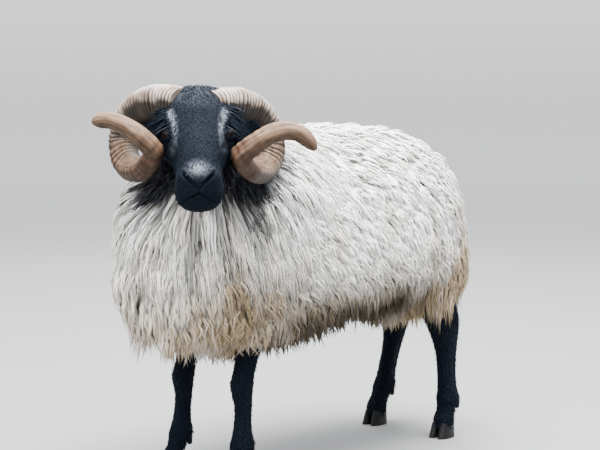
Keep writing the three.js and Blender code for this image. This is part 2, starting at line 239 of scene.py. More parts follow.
def to_brow(points):
    """Stance coordinates to the eyes' own level axes: ahead, up and to the ram's left."""
    return (points - EYES) @ BROW_AXES.T


def brow_point(ahead, above, side):
    """Stance place measured level from the middle of the eyes."""
    return EYES + np.stack(np.broadcast_arrays(ahead, above, side), -1) @ BROW_AXES


# ---------- forms of flesh and fleece ----------

def trunk_narrowing(up, rear):
    """Part of its width the trunk keeps at a height: less at the crest, above all behind, and at the hem."""
    return 1 - (0.1 + 0.2 * rear ** 2) * np.maximum(0, up) ** 2 - 0.12 * np.maximum(0, -up) ** 3


def trunk_form(t, a, side=0.0, back=0.0, hem=0.0, ends=0.0):
    """Rings of rounded section along the body, closing in at both ends; side, back, hem and ends are depths
    inside the fleece."""
    turn = (0.02 + 0.96 * t) * np.pi - np.pi / 2
    along = np.sign(turn) * np.abs(np.sin(turn)) ** (2 / TRUNK["plan"])
    wide = np.abs(np.cos(turn)) ** (2 / TRUNK["plan"])
    above = (1 - np.abs(along) ** TRUNK["back"]) ** (1 / TRUNK["back"])
    below = (1 - np.abs(along) ** TRUNK["hem"]) ** (1 / TRUNK["hem"])
    line_back, line_middle, line_hem, half_width = through(TRUNK_LINES, along)
    across, up = rounded(a, TRUNK["section"])
    rear = np.maximum(0, along)
    tall = np.where(up > 0, above, below)
    depth = np.where(up > 0, line_back - line_middle - back, line_middle - line_hem - hem)
    x = across * trunk_narrowing(up, rear) * (half_width - side) * wide
    y = TRUNK["middle"] + (TRUNK["length"] / 2 - ends) * along - TRUNK["lean"] * rear ** 3 * up * tall
    return np.stack([x, y, line_middle + up * tall * depth], -1)


def trunk_gauge(p):
    """1 on the fleece of the trunk and less inside it: rounded section and rounded ends, taken together."""
    y = p[..., 1] - TRUNK["middle"]
    along = y / (TRUNK["length"] / 2)
    for _ in range(2):
        back, middle, hem, half_width = through(TRUNK_LINES, along)
        up = (p[..., 2] - middle) / np.where(p[..., 2] > middle, back - middle, middle - hem)
        lean = TRUNK["lean"] * np.clip(along, 0, 1) ** 3 * np.clip(up, -1, 1)
        along = (y + lean) / (TRUNK["length"] / 2)
    rise = np.clip(up, -1, 1)
    narrow = trunk_narrowing(rise, np.clip(along, 0, 1))
    power = TRUNK["section"]
    side_part = np.abs(p[..., 0] / (narrow * half_width)) ** power
    up_part = np.abs(up) ** power
    section = (side_part + up_part + 1e-9) ** (1 / power)
    share = up_part / (side_part + up_part + 1e-9)
    closing = TRUNK["plan"] + share * (np.where(up > 0, TRUNK["back"], TRUNK["hem"]) - TRUNK["plan"])
    return (np.abs(along) ** closing + section ** closing) ** (1 / closing)


def neck_axes(t):
    """The neck's middle line, a quadratic Bezier, with its directions ahead, to the side and above."""
    t = np.asarray(t)[..., None]
    start, bend, end = NECK_PATH
    place = (1 - t) ** 2 * start + 2 * t * (1 - t) * bend + t * t * end
    ahead = unit((1 - t) * (bend - start) + t * (end - bend))
    side = unit(np.cross(ahead, UP))
    return place, ahead, side, np.cross(side, ahead)


def neck_form(t, a, inset=(0.0, 0.0, 0.0)):
    """Egg-shaped rings carried along the neck's middle line, narrower at the crest; inset is wide, up, down."""
    wide, above, below = through(NECK_LINES, t) - np.array(inset)[:, None, None]
    place, _, side, over = neck_axes(t)
    across, up = rounded(a, NECK["section"])
    reach = across * wide * (1 - NECK["crest"] * up)
    return place + side * reach[..., None] + over * (up * np.where(up > 0, above, below))[..., None]


NECK_STEPS = 48
NECK_TABLE = neck_axes(np.linspace(0, 1, NECK_STEPS + 1))


def neck_place(p):
    """How far along the neck the nearest step of its middle line is, and the place across, above and ahead.

    Across and above are parts of the fleece's half sizes there; ahead is in metres.
    """
    places, aheads, sides, overs = NECK_TABLE
    flat = p.reshape(-1, 3)
    step = np.argmin(((flat[:, None] - places[None]) ** 2).sum(-1), 1)
    away = flat - places[step]
    wide, above, below = through(NECK_LINES, step / NECK_STEPS)
    across, up, over = [(away * axis[step]).sum(-1) for axis in (sides, overs, aheads)]
    up = up / np.where(up > 0, above, below)
    across = across / (wide * (1 - NECK["crest"] * np.clip(up, -1, 1)))
    return [value.reshape(p.shape[:-1]) for value in (step / NECK_STEPS, across, up, over)]


def neck_gauge(p):
    """1 on the fleece of the neck and less inside it."""
    _, across, up, over = neck_place(p)
    ends = np.maximum(0, np.abs(over) - 0.012) / 0.09
    power = NECK["section"]
    return (np.abs(across) ** power + np.abs(up) ** power + ends ** power) ** (1 / power)


def fleece_depth(p):
    """Roughly how far a place lies outside the fleece, in metres: the nearer of trunk and neck, softly joined."""
    trunk, neck = (trunk_gauge(p) - 1) * 0.25, (neck_gauge(p) - 1) * 0.13
    join = 0.03
    h = np.clip(0.5 + 0.5 * (trunk - neck) / join, 0, 1)
    return trunk * (1 - h) + neck * h - join * h * (1 - h)


def fleece_normal(p):
    """Direction in which fleece_depth grows fastest, by differences 2 mm wide."""
    step = 0.002 * np.eye(3)
    return unit(np.stack([fleece_depth(p + s) - fleece_depth(p - s) for s in step], -1))


def head_gauge(p):
    """1 on the bare head and less inside it, by the head's rings."""
    u, v, w = np.moveaxis(to_head(p), -1, 0)
    face, jaw, wide, power = through(HEAD_LINES, u)
    beyond = np.maximum(0, np.maximum(HEAD_LINES[0, 0] - u, u - HEAD_LINES[-1, 0])) / 0.05
    up = (v - (face + jaw) / 2) / ((face - jaw) / 2)
    across = w / (wide * (1 - JAW_TAPER * np.clip(-up, 0, 1) ** 2))
    return (np.abs(up) ** power + np.abs(across) ** power + beyond ** power) ** (1 / power)


def tail_form(t, a, inset=0.0):
    """Oval rings along the tail's line, which follows the rump from the croup to the hocks."""
    y, z, wide, thick = through(TAIL_LINES, t)
    chord = through(TAIL_LINES, t + 0.01)[:2] - through(TAIL_LINES, t - 0.01)[:2]
    down = unit(np.stack([0 * y, *chord], -1))
    out = np.cross([1.0, 0, 0], down)
    across, up = rounded(a, 2)
    middle = np.stack([0 * y, y, z], -1)
    thin = np.maximum(thick - inset, 0.004)
    broad = np.maximum(wide - inset, 0.006)
    return middle + (across * broad)[..., None] * [1.0, 0, 0] + out * (up * thin)[..., None]


def leg_place(foot, z):
    """Middle and half sizes of a leg at a height; the shin leans back and inwards below the body."""
    behind, wide, deep = through(foot["rows"], z)
    rise = np.clip((z - 0.060) / 0.2, 0, 1) * (1 - np.clip((z - 0.300) / 0.2, 0, 1))
    x = foot["x"] - np.sign(foot["x"]) * foot["inward"] * rise
    return x, foot["y"] + behind + foot["lean"] * rise, wide, deep


def leg_form(foot, t, a):
    """Rounded rings up a leg, with a raised tendon behind, hollows beside it and a knobbed knee or hock."""
    low, high = foot["rows"][0, 0] - 0.004, foot["rows"][-1, 0]
    z = low + (high - low) * t ** 1.15
    x, y, wide, deep = leg_place(foot, z)
    across, up = rounded(a, 2.2)
    shin = smooth(0.105, 0.14, z) * (1 - smooth(0.19, 0.25, z))
    hollow = shin * 0.0022 * bell((up - 0.35) / 0.3) * np.abs(across)
    tendon = shin * 0.0018 * np.maximum(0, up) ** 4
    knuckle = 0.0015 * bell((z - 0.096) / 0.012) * np.abs(across) ** 3
    full = 0.003 * smooth(0.20, 0.28, z) * (foot["rows"] is HIND_LEG) - 0.0015
    px = x + across * (wide - hollow + knuckle + full)
    return np.stack([px, y + up * (deep + tendon + full), z + 0 * px], -1)


# ---------- meshes ----------

def faces_of_tube(along, around):
    """Triangles of a tube whose two ends are each closed by a fan to one added point."""
    r, s = np.meshgrid(np.arange(along - 1), np.arange(around), indexing="ij")
    a, b = r * around + s, r * around + (s + 1) % around
    sides = np.stack([np.stack([a, b, b + around], -1), np.stack([a, b + around, a + around], -1)])
    s = np.arange(around)
    n = (s + 1) % around
    first, last = along * around, along * around + 1
    top = (along - 1) * around
    fans = [np.stack([n, s, 0 * s + first], -1), np.stack([top + s, top + n, 0 * s + last], -1)]
    return np.concatenate([sides.reshape(-1, 3), *fans])


def outwards(points, faces):
    """The same faces, all turned over if they enclose a negative volume."""
    corners = points[faces]
    volume = (corners[:, 0] * np.cross(corners[:, 1], corners[:, 2])).sum()
    return faces[:, ::-1] if volume < 0 else faces


def make_mesh(name, points, faces, uv=None, attributes=None):
    """A smooth mesh object from points and triangles, with UV maps by point and named attributes by point."""
    mesh = bpy.data.meshes.new(name)
    mesh.vertices.add(len(points))
    mesh.vertices.foreach_set("co", np.ascontiguousarray(points, np.float32).ravel())
    mesh.loops.add(faces.size)
    mesh.loops.foreach_set("vertex_index", faces.astype(np.int32).ravel())
    mesh.polygons.add(len(faces))
    mesh.polygons.foreach_set("loop_start", np.arange(0, faces.size, 3, dtype=np.int32))
    mesh.update(calc_edges=True)
    mesh.polygons.foreach_set("use_smooth", np.ones(len(faces), bool))
    for key, value in (uv or {}).items():
        layer = mesh.uv_layers.new(name=key)
        layer.uv.foreach_set("vector", value[faces.ravel()].astype(np.float32).ravel())
    for key, value in (attributes or {}).items():
        set_attribute(mesh, key, value)
    piece = bpy.data.objects.new(name, mesh)
    bpy.context.scene.collection.objects.link(piece)
    return piece


def set_attribute(mesh, key, value):
    """A number or a triple for each point of the mesh."""
    kind, field = ("FLOAT", "value") if value.ndim == 1 else ("FLOAT_VECTOR", "vector")
    layer = mesh.attributes.new(key, kind, "POINT")
    layer.data.foreach_set(field, value.astype(np.float32).ravel())


def stance_points(piece):
    """The piece's points in the stance frame."""
    points = np.empty(len(piece.data.vertices) * 3, np.float32)
    piece.data.vertices.foreach_get("co", points)
    return points.reshape(-1, 3) - SHIFT


def tube(name, points, attributes=None):
    """A closed mesh from a grid of points in the stance frame, its faces turned outwards."""
    along, around = points.shape[:2]
    whole, *values = [np.concatenate([value.reshape(along * around, -1), value[:1].mean(1), value[-1:].mean(1)])
                      for value in (points, *(attributes or {}).values())]
    faces = outwards(whole, faces_of_tube(along, around))
    return make_mesh(name, whole + SHIFT, faces, None, dict(zip(attributes or {}, values)))


# ---------- markings ----------

# [up, side] of the pale crescent beside each eye, in mm from the eyes' level
EYE_PATCH = np.array([[40, 54], [28, 50], [12, 46.5], [-6, 45.5], [-20, 48], [-38, 53]])
# [ahead, up, side] of the ear's root and tip from the eyes' level
EAR_LINE = np.array([[-50, 8, 58], [-86, 0, 130]]) * MM


# soft spots of tan, and of dirt and painted shade in the wool: [x, y, z, reach along x, y and z]
ELBOW_TAN = [0.18, -0.42, 0.43, 0.12, 0.11, 0.12]
CHEST_TAN = [-0.02, -0.47, 0.36, 0.16, 0.12, 0.10]
ELBOW_DIRT_AND_SHADE = [0.17, -0.40, 0.45, 0.12, 0.12, 0.16]
SHOULDER_DIRT_AND_SHADE = [0.20, -0.28, 0.57, 0.10, 0.07, 0.14]


def markings(p):
    """How black, how tan and how pale a place of the hide is, from 0 to 1: the same for skin and coat.

    Black covers the head and runs on behind the jaw as a ruff; the legs are black to the belly.
    Tan gathers at the elbows, low on the chest, along the hem and behind. Pale hairs stand beside
    the eyes, above the nostrils and thinly on the poll; a faint painted highlight lightens the front of the
    face down the nose.
    """
    x, y, z = np.moveaxis(p, -1, 0)
    gauge = head_gauge(p) + 0.10 * drift(p, 0.05, 3)
    black = 1 - smooth(1.22, 1.45, gauge)
    ahead, up, side = np.moveaxis(to_brow(p), -1, 0)
    ear = near_line(np.stack([ahead, up, np.abs(side)], -1), EAR_LINE)[0]
    black = np.maximum(black, 1 - smooth(0.030, 0.040, ear))
    along, across, above, _ = neck_place(p)
    along = along + 0.05 * drift(p, 0.04, 4)
    edge = 0.82 - 0.25 * smooth(0.15, 0.60, np.abs(across))
    nape = smooth(0.2, 0.5, above) * (1 - smooth(0.78, 0.90, along))
    ruff = smooth(edge - 0.04, edge + 0.05, along) * smooth(-0.95, -0.65, above) * (1 - nape)
    black = np.maximum(black, ruff * (gauge < RUFF_REACH))
    trunk = trunk_gauge(p)
    leg = (z < 0.36) & (trunk > 0.80)
    black = np.where(leg | (z < 0.26), 1.0, black)
    patch = drift(p, 0.11, 5)
    low = 1 - smooth(0.30, 0.56, z + 0.07 * patch)
    rear = smooth(0.15, 0.33, y + 0.06 * patch) * (1 - smooth(0.46, 0.68, z + 0.04 * patch))
    elbow, fore = spot(np.stack([np.abs(x), y, z], -1), ELBOW_TAN), spot(p, CHEST_TAN)
    mottled = 0.75 + 0.45 * drift(p, 0.06, 8)
    tan = (0.50 * low + 0.70 * rear + (0.50 * elbow + 0.28 * fore) * mottled + 0.05
           + 0.30 * patch * (1 - 0.7 * smooth(0.56, 0.70, z)))
    u, v, w = np.moveaxis(to_head(p) / MM, -1, 0)
    ahead, up = ahead / MM, up / MM
    away = near_line(np.stack([up, np.abs(w)], -1), EYE_PATCH)[0] + 2.0 * drift(p, 0.009, 6)
    crescent = 0.60 * bell(away / 5.4) * (ahead > -30) * (0.32 + 0.68 * smooth(-12, 10, up))
    nose = bell((up + 71) / 11, w / 16) * (ahead > 40)
    poll = 0.14 * bell((u + 62) / 30, w / 45) * (v > 10)
    # painted highlight: the front of the face, where light falls, is made faintly paler
    lit_bridge = smooth(-70, -30, u) * (1 - smooth(118, 145, u)) * (1 - smooth(38, 50, np.abs(w))) * (v > 5)
    pale = np.maximum.reduce([crescent, 0.9 * nose, poll, 0.010 * lit_bridge])
    return np.stack([black, np.clip(tan, 0, 1), np.clip(pale, 0, 1)], -1)


# ---------- the skin: one surface under the coat ----------

LIP_LINE = np.array([[154, 7, 0], [158, 2, 9], [160, -4, 18], [158, -12, 27], [152, -22, 34],
                     [142, -32, 40], [126, -40, 44]]) * MM
NOSTRIL = np.array([[119, 25, 28], [126, 26, 26], [134, 25, 20], [142, 20, 11], [150, 12, 2.5]]) * MM
PHILTRUM = np.array([[146, 17, 0], [154, 7, 0]]) * MM
# [u, v, w, reach along u, v and w, height], a soft swelling or hollow on each side of the head, in mm
HEAD_SWELLINGS = [
    [-6, 36, 62, 18, 14, 14, 4.5],  # brow bone
    [24, 14, 74, 18, 14, 12, -2.2],  # socket
    [32, 26, 54, 12, 10, 10, -2.0],  # in front of the eye
    [47, 12, 52, 12, 8, 9, -3.6],  # tear pit
    [58, 24, 44, 40, 8, 10, 1.6],  # edge of the nose bone
    [62, -14, 52, 34, 7, 14, 2.8],  # cheek crest
    [20, -66, 62, 30, 34, 24, 4.0],  # jaw muscle
    [92, 18, 44, 30, 10, 12, -2.4],  # beside the nose bone
    [88, -42, 46, 30, 14, 14, -3.2],  # hollow cheek
    [125, 19, 40, 13, 13, 12, 3.4],  # wing of the nostril
    [142, -6, 38, 14, 10, 12, 2.6],  # upper lip
    [151, 11, 14, 8, 8, 9, 1.6],  # lip beside the groove
    [150, -44, 20, 12, 10, 16, 0.6],  # chin
    [163, -16, 13, 8, 7, 13, 1.4],  # lower lip
]


def snap(line, surface):
    """A line drawn out finely, each point moved to the nearest point of a surface's grid."""
    places = np.linspace(0, 1, 40)
    fine = np.stack([np.interp(places, np.linspace(0, 1, len(line)), column) for column in line.T], -1)
    flat = surface.reshape(-1, 3)
    return flat[np.argmin(((flat[None] - fine[:, None]) ** 2).sum(-1), 1)]


def head_form(t, a):
    """The head's rings, rounded at the lips and the nape, then swollen along their normals by HEAD_SWELLINGS,
    cut by the nostrils, the groove of the lip and the line of the mouth, and opened round the eyes."""
    first, last = HEAD_LINES[0, 0], HEAD_LINES[-1, 0]
    u = first + (last - first) * t
    face, jaw, wide, power = through(HEAD_LINES, u)
    tip, nape = dome(u, 0.1615, 0.0088), 0.2 + 0.8 * dome(-u, 0.078, 0.0201)
    middle, half = (face + jaw) / 2, (face - jaw) / 2 * (0.25 + 0.75 * tip) * nape
    across, up = rounded(a, power)
    taper = 1 - JAW_TAPER * np.maximum(0, -up) ** 2
    uvw = np.stack([u, middle + up * half, across * wide * taper * (0.2 + 0.8 * tip) * nape], -1)
    normal = grid_normals(uvw)
    mirrored = np.concatenate([uvw[..., :2], np.abs(uvw[..., 2:])], -1)
    rows = np.array(HEAD_SWELLINGS) * MM
    away = (mirrored[..., None, :] - rows[:, :3]) / rows[:, 3:6]
    swell = (np.exp(-(away ** 2).sum(-1)) * rows[:, 6]).sum(-1)
    swell += 0.0012 * bell(uvw[..., 2] / 0.006) * smooth(0.02, 0.05, uvw[..., 0]) * (uvw[..., 1] > 0)
    slit, place = near_line(mirrored, snap(NOSTRIL, mirrored))
    hole = np.interp(place, [0, 0.2, 0.5, 0.75, 1], [0.0012, 0.0034, 0.0036, 0.0016, 0.0010])
    deep = np.interp(place, [0, 0.2, 0.5, 0.75, 1], [0.002, 0.010, 0.010, 0.004, 0.0024])
    swell -= deep * np.exp(-((slit / hole) ** 4))
    swell += 0.0018 * bell((slit - 0.0062) / 0.0026) * (1 - smooth(0.6, 0.9, place))
    swell -= 0.0024 * bell(near_line(uvw, snap(PHILTRUM, uvw))[0] / 0.0014)
    gap, place = near_line(mirrored, snap(LIP_LINE, mirrored))
    swell -= 0.0046 * bell(gap / 0.0017) * (1 - 0.6 * place)
    swell += 0.0013 * bell((gap - 0.0048) / 0.0026) * (1 - smooth(0.7, 1, place))
    ball = np.linalg.norm(mirrored - EYE_AT, axis=-1)
    swell -= 0.006 * (1 - smooth(0.0125, 0.0195, ball))
    return uvw + normal * swell[..., None]


def eye_axes(side):
    """Where an eye looks, the line from its inner to its outer corner, and its upward direction."""
    gaze = unit(0.60 * FORWARD + 0.10 * HEAD_UP + 0.80 * side * LEFT)
    corner = unit(-0.80 * FORWARD + 0.22 * HEAD_UP + 0.60 * side * LEFT)
    corner = unit(corner - dot(corner, gaze) * gaze)
    return gaze, corner, np.cross(gaze, corner) * (1 if np.cross(gaze, corner)[2] > 0 else -1)


# Section of a lid: [distance out from the opening's edge, distance from the eye's middle]
LID_SECTION = np.array([[0.0, 14.9], [-0.1, 15.5], [0.5, 16.1], [1.6, 16.4], [2.6, 16.0], [4.0, 16.5], [6.8, 16.0],
                        [10.0, 13.4], [7.0, 12.2], [3.0, 12.6], [0.6, 13.8]]) * MM


def lid_form(side):
    """A lid's section carried round an almond opening on the eye's ball, thicker above than below."""
    gaze, corner, above = eye_axes(side)
    turn = np.linspace(0, 1, 96, endpoint=False)
    c, s = np.cos(2 * np.pi * turn), np.sin(2 * np.pi * turn)
    long, high = 0.92, np.where(s > 0, 0.60, 0.48)
    edge_x, edge_y = long * c, high * s * (1 - 0.28 * np.abs(c) ** 3)
    out_x, out_y = unit(np.stack([c / long, s / high], -1)).T
    reach = LID_SECTION[:, 0][:, None] / EYE_RADIUS
    x, y = edge_x + out_x * reach, edge_y + out_y * reach
    angle = np.hypot(x, y)
    flat = np.sinc(angle / np.pi)
    direction = together(np.cos(angle), x * flat, y * flat) @ np.array([gaze, corner, above])
    far = LID_SECTION[:, 1][:, None]
    far = far * (1 + 0.035 * np.clip(s, -0.4, 1)[None] * (far > 0.0165))
    return np.swapaxes(from_head(EYE_AT * [1, 1, side]) + direction * far[..., None], 0, 1)


def closed_ring(name, points):
    """A ring-shaped closed mesh from a grid that meets itself both ways."""
    along, around = points.shape[:2]
    r, s = np.meshgrid(np.arange(along), np.arange(around), indexing="ij")
    a, b = r * around + s, r * around + (s + 1) % around
    c, d = (r + 1) % along * around + s, (r + 1) % along * around + (s + 1) % around
    faces = np.stack([np.stack([a, b, d], -1), np.stack([a, d, c], -1)]).reshape(-1, 3)
    flat = points.reshape(-1, 3)
    return make_mesh(name, flat + SHIFT, outwards(flat, faces))


def ear_form(side, t, a):
    """A cupped leaf: half width swells and closes along the ear, and its edges curl forward."""
    root, tip = [brow_point(ahead, up, side * out) for ahead, up, out in EAR_LINE]
    along = unit(tip - root)
    flat = unit(np.cross(along, HEAD_UP))
    edge = np.cross(flat, along)
    half = 0.004 + 0.020 * np.clip(np.sin(np.pi * t ** 0.85), 0, 1) ** 0.8
    across, thick = rounded(a, 2)
    place = root + (tip - root) * t[..., None] - 0.008 * HEAD_UP * t[..., None] ** 2
    lift = 0.0028 * thick + 0.006 * across ** 2
    return place + edge * (across * half)[..., None] + flat * lift[..., None]


SKIN_INSET = dict(side=0.046, back=0.030, hem=0.085, ends=0.045)
NECK_INSET = (0.036, 0.026, 0.052)
TAIL_INSET = 0.018


# how finely the flat hair's relief is drawn, across the hair and along it
HAIR_ACROSS, HAIR_ALONG = 1100.0, 130.0
# the head's gauge up to which hair lies as on the head, and up to which the ruff is black
ON_HEAD, RUFF_REACH = 1.4, 2.6


def trunk_skin():
    """The trunk's part of the skin, which its fleece grows from."""
    return trunk_form(*grid(*GRID["trunk"]), **SKIN_INSET)


def tail_skin():
    """The tail's part of the skin."""
    return tail_form(*grid(*GRID["tail"]), TAIL_INSET)


def leg_skin(foot):
    """A leg's part of the skin."""
    return leg_form(foot, *grid(*GRID["leg"]))


def ear_skin(side):
    """An ear's part of the skin."""
    return ear_form(side, *grid(*GRID["ear"]))


def head_skin(fineness):
    """The head's part of the skin, on the grid named."""
    return from_head(head_form(*grid(*GRID[fineness])))


def unite(pieces):
    """Joins closed pieces into one skin by exact union, keeping only the outside."""
    whole = pieces[0]
    for part in pieces[1:]:
        cut = whole.modifiers.new("union", "BOOLEAN")
        cut.operation, cut.solver, cut.object = "UNION", "EXACT", part
        merged = bpy.data.meshes.new_from_object(whole.evaluated_get(bpy.context.evaluated_depsgraph_get()))
        whole.modifiers.clear()
        old, whole.data = whole.data, merged
        bpy.data.meshes.remove(old)
        bpy.data.objects.remove(part)
        bpy.context.view_layer.update()
    return whole


def build_skin():
    """Trunk, neck, tail, legs, ears, head and lids made one; its markings and lie of hair are on its points."""
    skin = unite([
        tube("hide", trunk_skin()), tube("neck_part", neck_form(*grid(*GRID["neck"]), NECK_INSET)),
        tube("tail_part", tail_skin()), *[tube("leg_part", leg_skin(foot)) for foot in FEET.values()],
        *[tube("ear_part", ear_skin(side)) for _, side in SIDES], tube("head_part", head_skin("head")),
        *[closed_ring("lid_part", lid_form(side)) for _, side in SIDES]])
    skin.name = "hide"
    points = stance_points(skin)
    set_attribute(skin.data, "Markings", markings(points))
    lie = np.where((head_gauge(points) < ON_HEAD)[:, None],
                   to_head(points) * [HAIR_ALONG, HAIR_ACROSS, HAIR_ACROSS],
                   points * [HAIR_ACROSS, HAIR_ACROSS, HAIR_ALONG])
    set_attribute(skin.data, "Lie", lie)
    skin.data.polygons.foreach_set("use_smooth", np.ones(len(skin.data.polygons), bool))
    return skin


skin = build_skin()


# ---------- eyes, horns and claws ----------

def build_eye(word, side):
    """A ball with a raised cornea, turned to look along its gaze; Gaze holds each point's place seen
    along it."""
    gaze, corner, above = eye_axes(side)
    t, a = grid(*GRID["eye"])
    angle = np.pi * (0.004 + 0.992 * t) ** 1.25
    cornea = 0.0011 * np.exp(-((angle / 0.52) ** 4))
    x, y = np.cos(2 * np.pi * a), np.sin(2 * np.pi * a)
    direction = together(np.cos(angle), x * np.sin(angle), y * np.sin(angle)) @ np.array([gaze, corner, above])
    points = from_head(EYE_AT * [1, 1, side]) + direction * (EYE_RADIUS - 0.0004 + cornea)[..., None]
    seen = np.stack([angle * x, angle * y, np.cos(angle)], -1)
    piece = tube(f"eyeball_{word}", points, {"Gaze": seen})
    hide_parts(f"eye_{word}")
    return piece


def horn_line(form, t):
    """The horn's middle line: once round a level coil beside the head, then out and down at the tip."""
    angle = np.radians(HORN["turn"][0] + (HORN["turn"][1] - HORN["turn"][0]) * t)
    flare = np.maximum(0, (t - form["start"]) / (1 - form["start"]))
    root = (1 - t) ** 6
    out = (form["spread"] + HORN["lean"] * np.cos(angle - np.radians(HORN["lean_at"]))
           - HORN["root_in"] * root + form["flare"] * flare ** 1.15)
    above = (form["middle"] + HORN["rise"] * np.sin(angle) + 0.003 * root
             + form["lift"] * flare - form["droop"] * flare ** 4.8)
    return brow_point(HORN["centre"] + HORN["reach"] * np.cos(angle), above, form["side"] * out)


HORN_RINGS, HORN_SIDES = 640, 44


def horn_half(t):
    """Half width of a horn along its line, before its tip is rounded off."""
    return HORN["half"][0] + (HORN["half"][1] - HORN["half"][0]) * t ** 1.5


def build_horn(word):
    """Rounded rings along the horn's line, cut by growth grooves that fade towards the tip.

    Growth holds the way along, the turn and the groove; the other attribute holds stain, painted shade
    on the undersides and the grey hollow.
    """
    form = HORNS[word]
    fine = np.linspace(0, 1, 4001)
    travelled = np.concatenate([[0], np.cumsum(np.linalg.norm(np.diff(horn_line(form, fine), axis=0), axis=1))])
    length = travelled[-1]
    part = np.linspace(0, 1, HORN_RINGS)
    t = np.interp(part * length, travelled, fine)
    middle = horn_line(form, t)
    ahead = unit(horn_line(form, np.minimum(t + 1e-3, 1)) - horn_line(form, np.maximum(t - 1e-3, 0)))
    across, side = [], LEFT * form["side"]
    for direction in ahead:
        side = unit(side - dot(side, direction) * direction)
        across.append(side)
    across = np.array(across)
    around = np.cross(ahead, across)
    blunt = dome(t, 0.972, 0.0285, 0.0004)
    half = horn_half(t) * blunt
    turn = np.arange(HORN_SIDES) / HORN_SIDES
    a, b = rounded(turn[None], 2.4)
    a, b = a + 0 * half[:, None], b + 0 * half[:, None]
    reach = part[:, None] * length
    local = together(a, b, reach * 20)
    wander = 0.0016 * drift(local * [1, 1, 0.5], 1.6, 21)
    step = 0.0078 + 0.005 * reach / length
    uneven = 0.0020 * np.sin(61 * reach) + 0.0014 * np.sin(143 * reach + 1)
    phase = (reach + wander + uneven) / step
    groove = (0.5 + 0.5 * np.cos(2 * np.pi * phase)) ** 1.8 * (0.78 + 0.22 * np.sin(7.3 * np.floor(phase + 0.5)))
    inner = 0.45 + 0.55 * smooth(-0.9, 0.3, b)
    part = part[:, None]
    root_part, rest = 1 - smooth(0.30, 0.56, part), 1 - smooth(0.70, 0.90, part)
    deep = (0.0026 * root_part + 0.0009 * rest + 0.0001) * inner
    lines = 0.00025 * np.sin(2 * np.pi * (reach + 0.5 * wander) / 0.0023) * (0.3 + 0.7 * rest)
    keel = 0.0022 * bell(((turn[None] - 0.12 + 0.5) % 1 - 0.5) / 0.07) * (1 - part)
    swell = -deep * groove + lines + keel + 0.0007 * drift(local, 1.1, 22)
    radial = unit(across[:, None] * (a * HORN["flat"])[..., None] + around[:, None] * b[..., None])
    points = (middle[:, None] + across[:, None] * (a * half[:, None] * HORN["flat"])[..., None]
              + around[:, None] * (b * half[:, None])[..., None] + radial * (swell * blunt[:, None])[..., None])
    growth = together(reach, turn[None], groove ** 0.65 * np.minimum(1, deep / 0.0015))
    facing = dot(radial, FORWARD)[..., 0]
    over = radial[..., 2]
    front = smooth(0.52, 0.62, part) * (1 - smooth(0.70, 0.84, part))
    stain = front * smooth(-0.1, 0.8, facing) * (0.75 + 0.25 * drift(points, 0.03, 23))
    coil = smooth(0.36, 0.50, part)
    # painted shade: the root's arc goes dark where it faces down, the coil's underside a little less
    under_root = (1 - coil) * (1 - smooth(-0.02, 0.36, over + 0.14 * drift(points, 0.03, 24)))
    under_coil = 0.60 * coil * (1 - smooth(-0.40, 0.40, over + 0.14 * drift(points, 0.03, 25)))
    grey = smooth(0.36, 0.46, part) * (1 - smooth(0.60, 0.70, part)) * (1 - smooth(-0.95, -0.35, b))
    wear_and_shade = np.clip(together(stain, np.maximum(under_root, under_coil), grey), 0, 1)
    piece = tube(f"horn_{word}_ridged", points, {"Growth": growth, "Wear_and_shade": wear_and_shade})
    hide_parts(f"horn_{word}")
    return piece


def build_claw(word, foot, side_word, side):
    """A claw: flat sole, upright inner wall, sloping toe, lower heel, and growth rings round the wall."""
    t, a = grid(*GRID["claw"])
    across, back = rounded(a + 0.5 / GRID["claw"][1], 2.5)
    edge = smooth(0, 0.07, t) * 0.05 + 0.95
    crown = dome(t, 0.93, 0.0702)
    toe = 1 - smooth(-0.35, 0.25, back)
    rings = 0.00035 * np.sin(2 * np.pi * t * 7 + 0.6 * drift(np.stack([across, back, t * 2], -1), 1.2, 31))
    long = (CLAW["length"] / 2 * (1 - 0.50 * t * toe) * edge + rings) * (0.25 + 0.75 * crown)
    wide = CLAW["width"] / 2 * (1 - 0.1 * t) * (1 - 0.3 * toe * back * back) * edge + rings
    wide = wide * (0.25 + 0.75 * crown)
    outward = CLAW["cleft"] / 2 + CLAW["width"] / 2 + wide * across - 0.05 * t * CLAW["width"]
    high = t * (CLAW["heel"] + (CLAW["height"] - CLAW["heel"]) * (1 - back) / 2)
    points = np.stack([foot["x"] + side * np.maximum(CLAW["cleft"] / 2, outward),
                       foot["y"] - 0.022 + back * long + 0.004 * (1 - crown), high], -1)
    place = np.stack([t, a, (1 - back) / 2 + 0 * t], -1)
    piece = tube(f"hoof_{word}_{side_word}", points, {"Wall": place})
    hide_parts(f"claw_{word}_{side_word}")
    return piece


def build_dewclaw(word, foot, side_word, side):
    """A blunt cone lying behind the fetlock, its point down and back."""
    t, a = grid(*GRID["dewclaw"])
    x, y, _, deep = leg_place(foot, np.array(0.086))
    turn = np.radians(106)
    radius = 0.0086 * (1 - 0.44 * t) * dome(t, 0.72, 0.281)
    radius = radius + 0.0003 * np.sin(2 * np.pi * t * 5)
    c, s = np.cos(2 * np.pi * a) * radius, np.sin(2 * np.pi * a) * radius
    high = 0.009 - 0.018 * t
    py = high * np.cos(turn) - s * np.sin(turn)
    pz = high * np.sin(turn) + s * np.cos(turn)
    points = np.stack([x + side * 0.012 + c, y + deep - 0.006 + py, 0.076 + pz], -1)
    piece = tube(f"hoof_small_{word}_{side_word}", points, {"Wall": np.stack([t, a, t], -1)})
    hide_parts(f"dewclaw_{word}_{side_word}")
    return piece


eyes = [build_eye(word, side) for word, side in SIDES]
horns = [build_horn(word) for word in HORNS]
hooves = []
for foot_word, foot in FEET.items():
    for side_word, side in SIDES:
        hooves += [build(foot_word, foot, side_word, side) for build in (build_claw, build_dewclaw)]


# ---------- coat ----------

def evenly(place, normal):
    """The same weight everywhere."""
    return np.ones(place.shape[:-1])


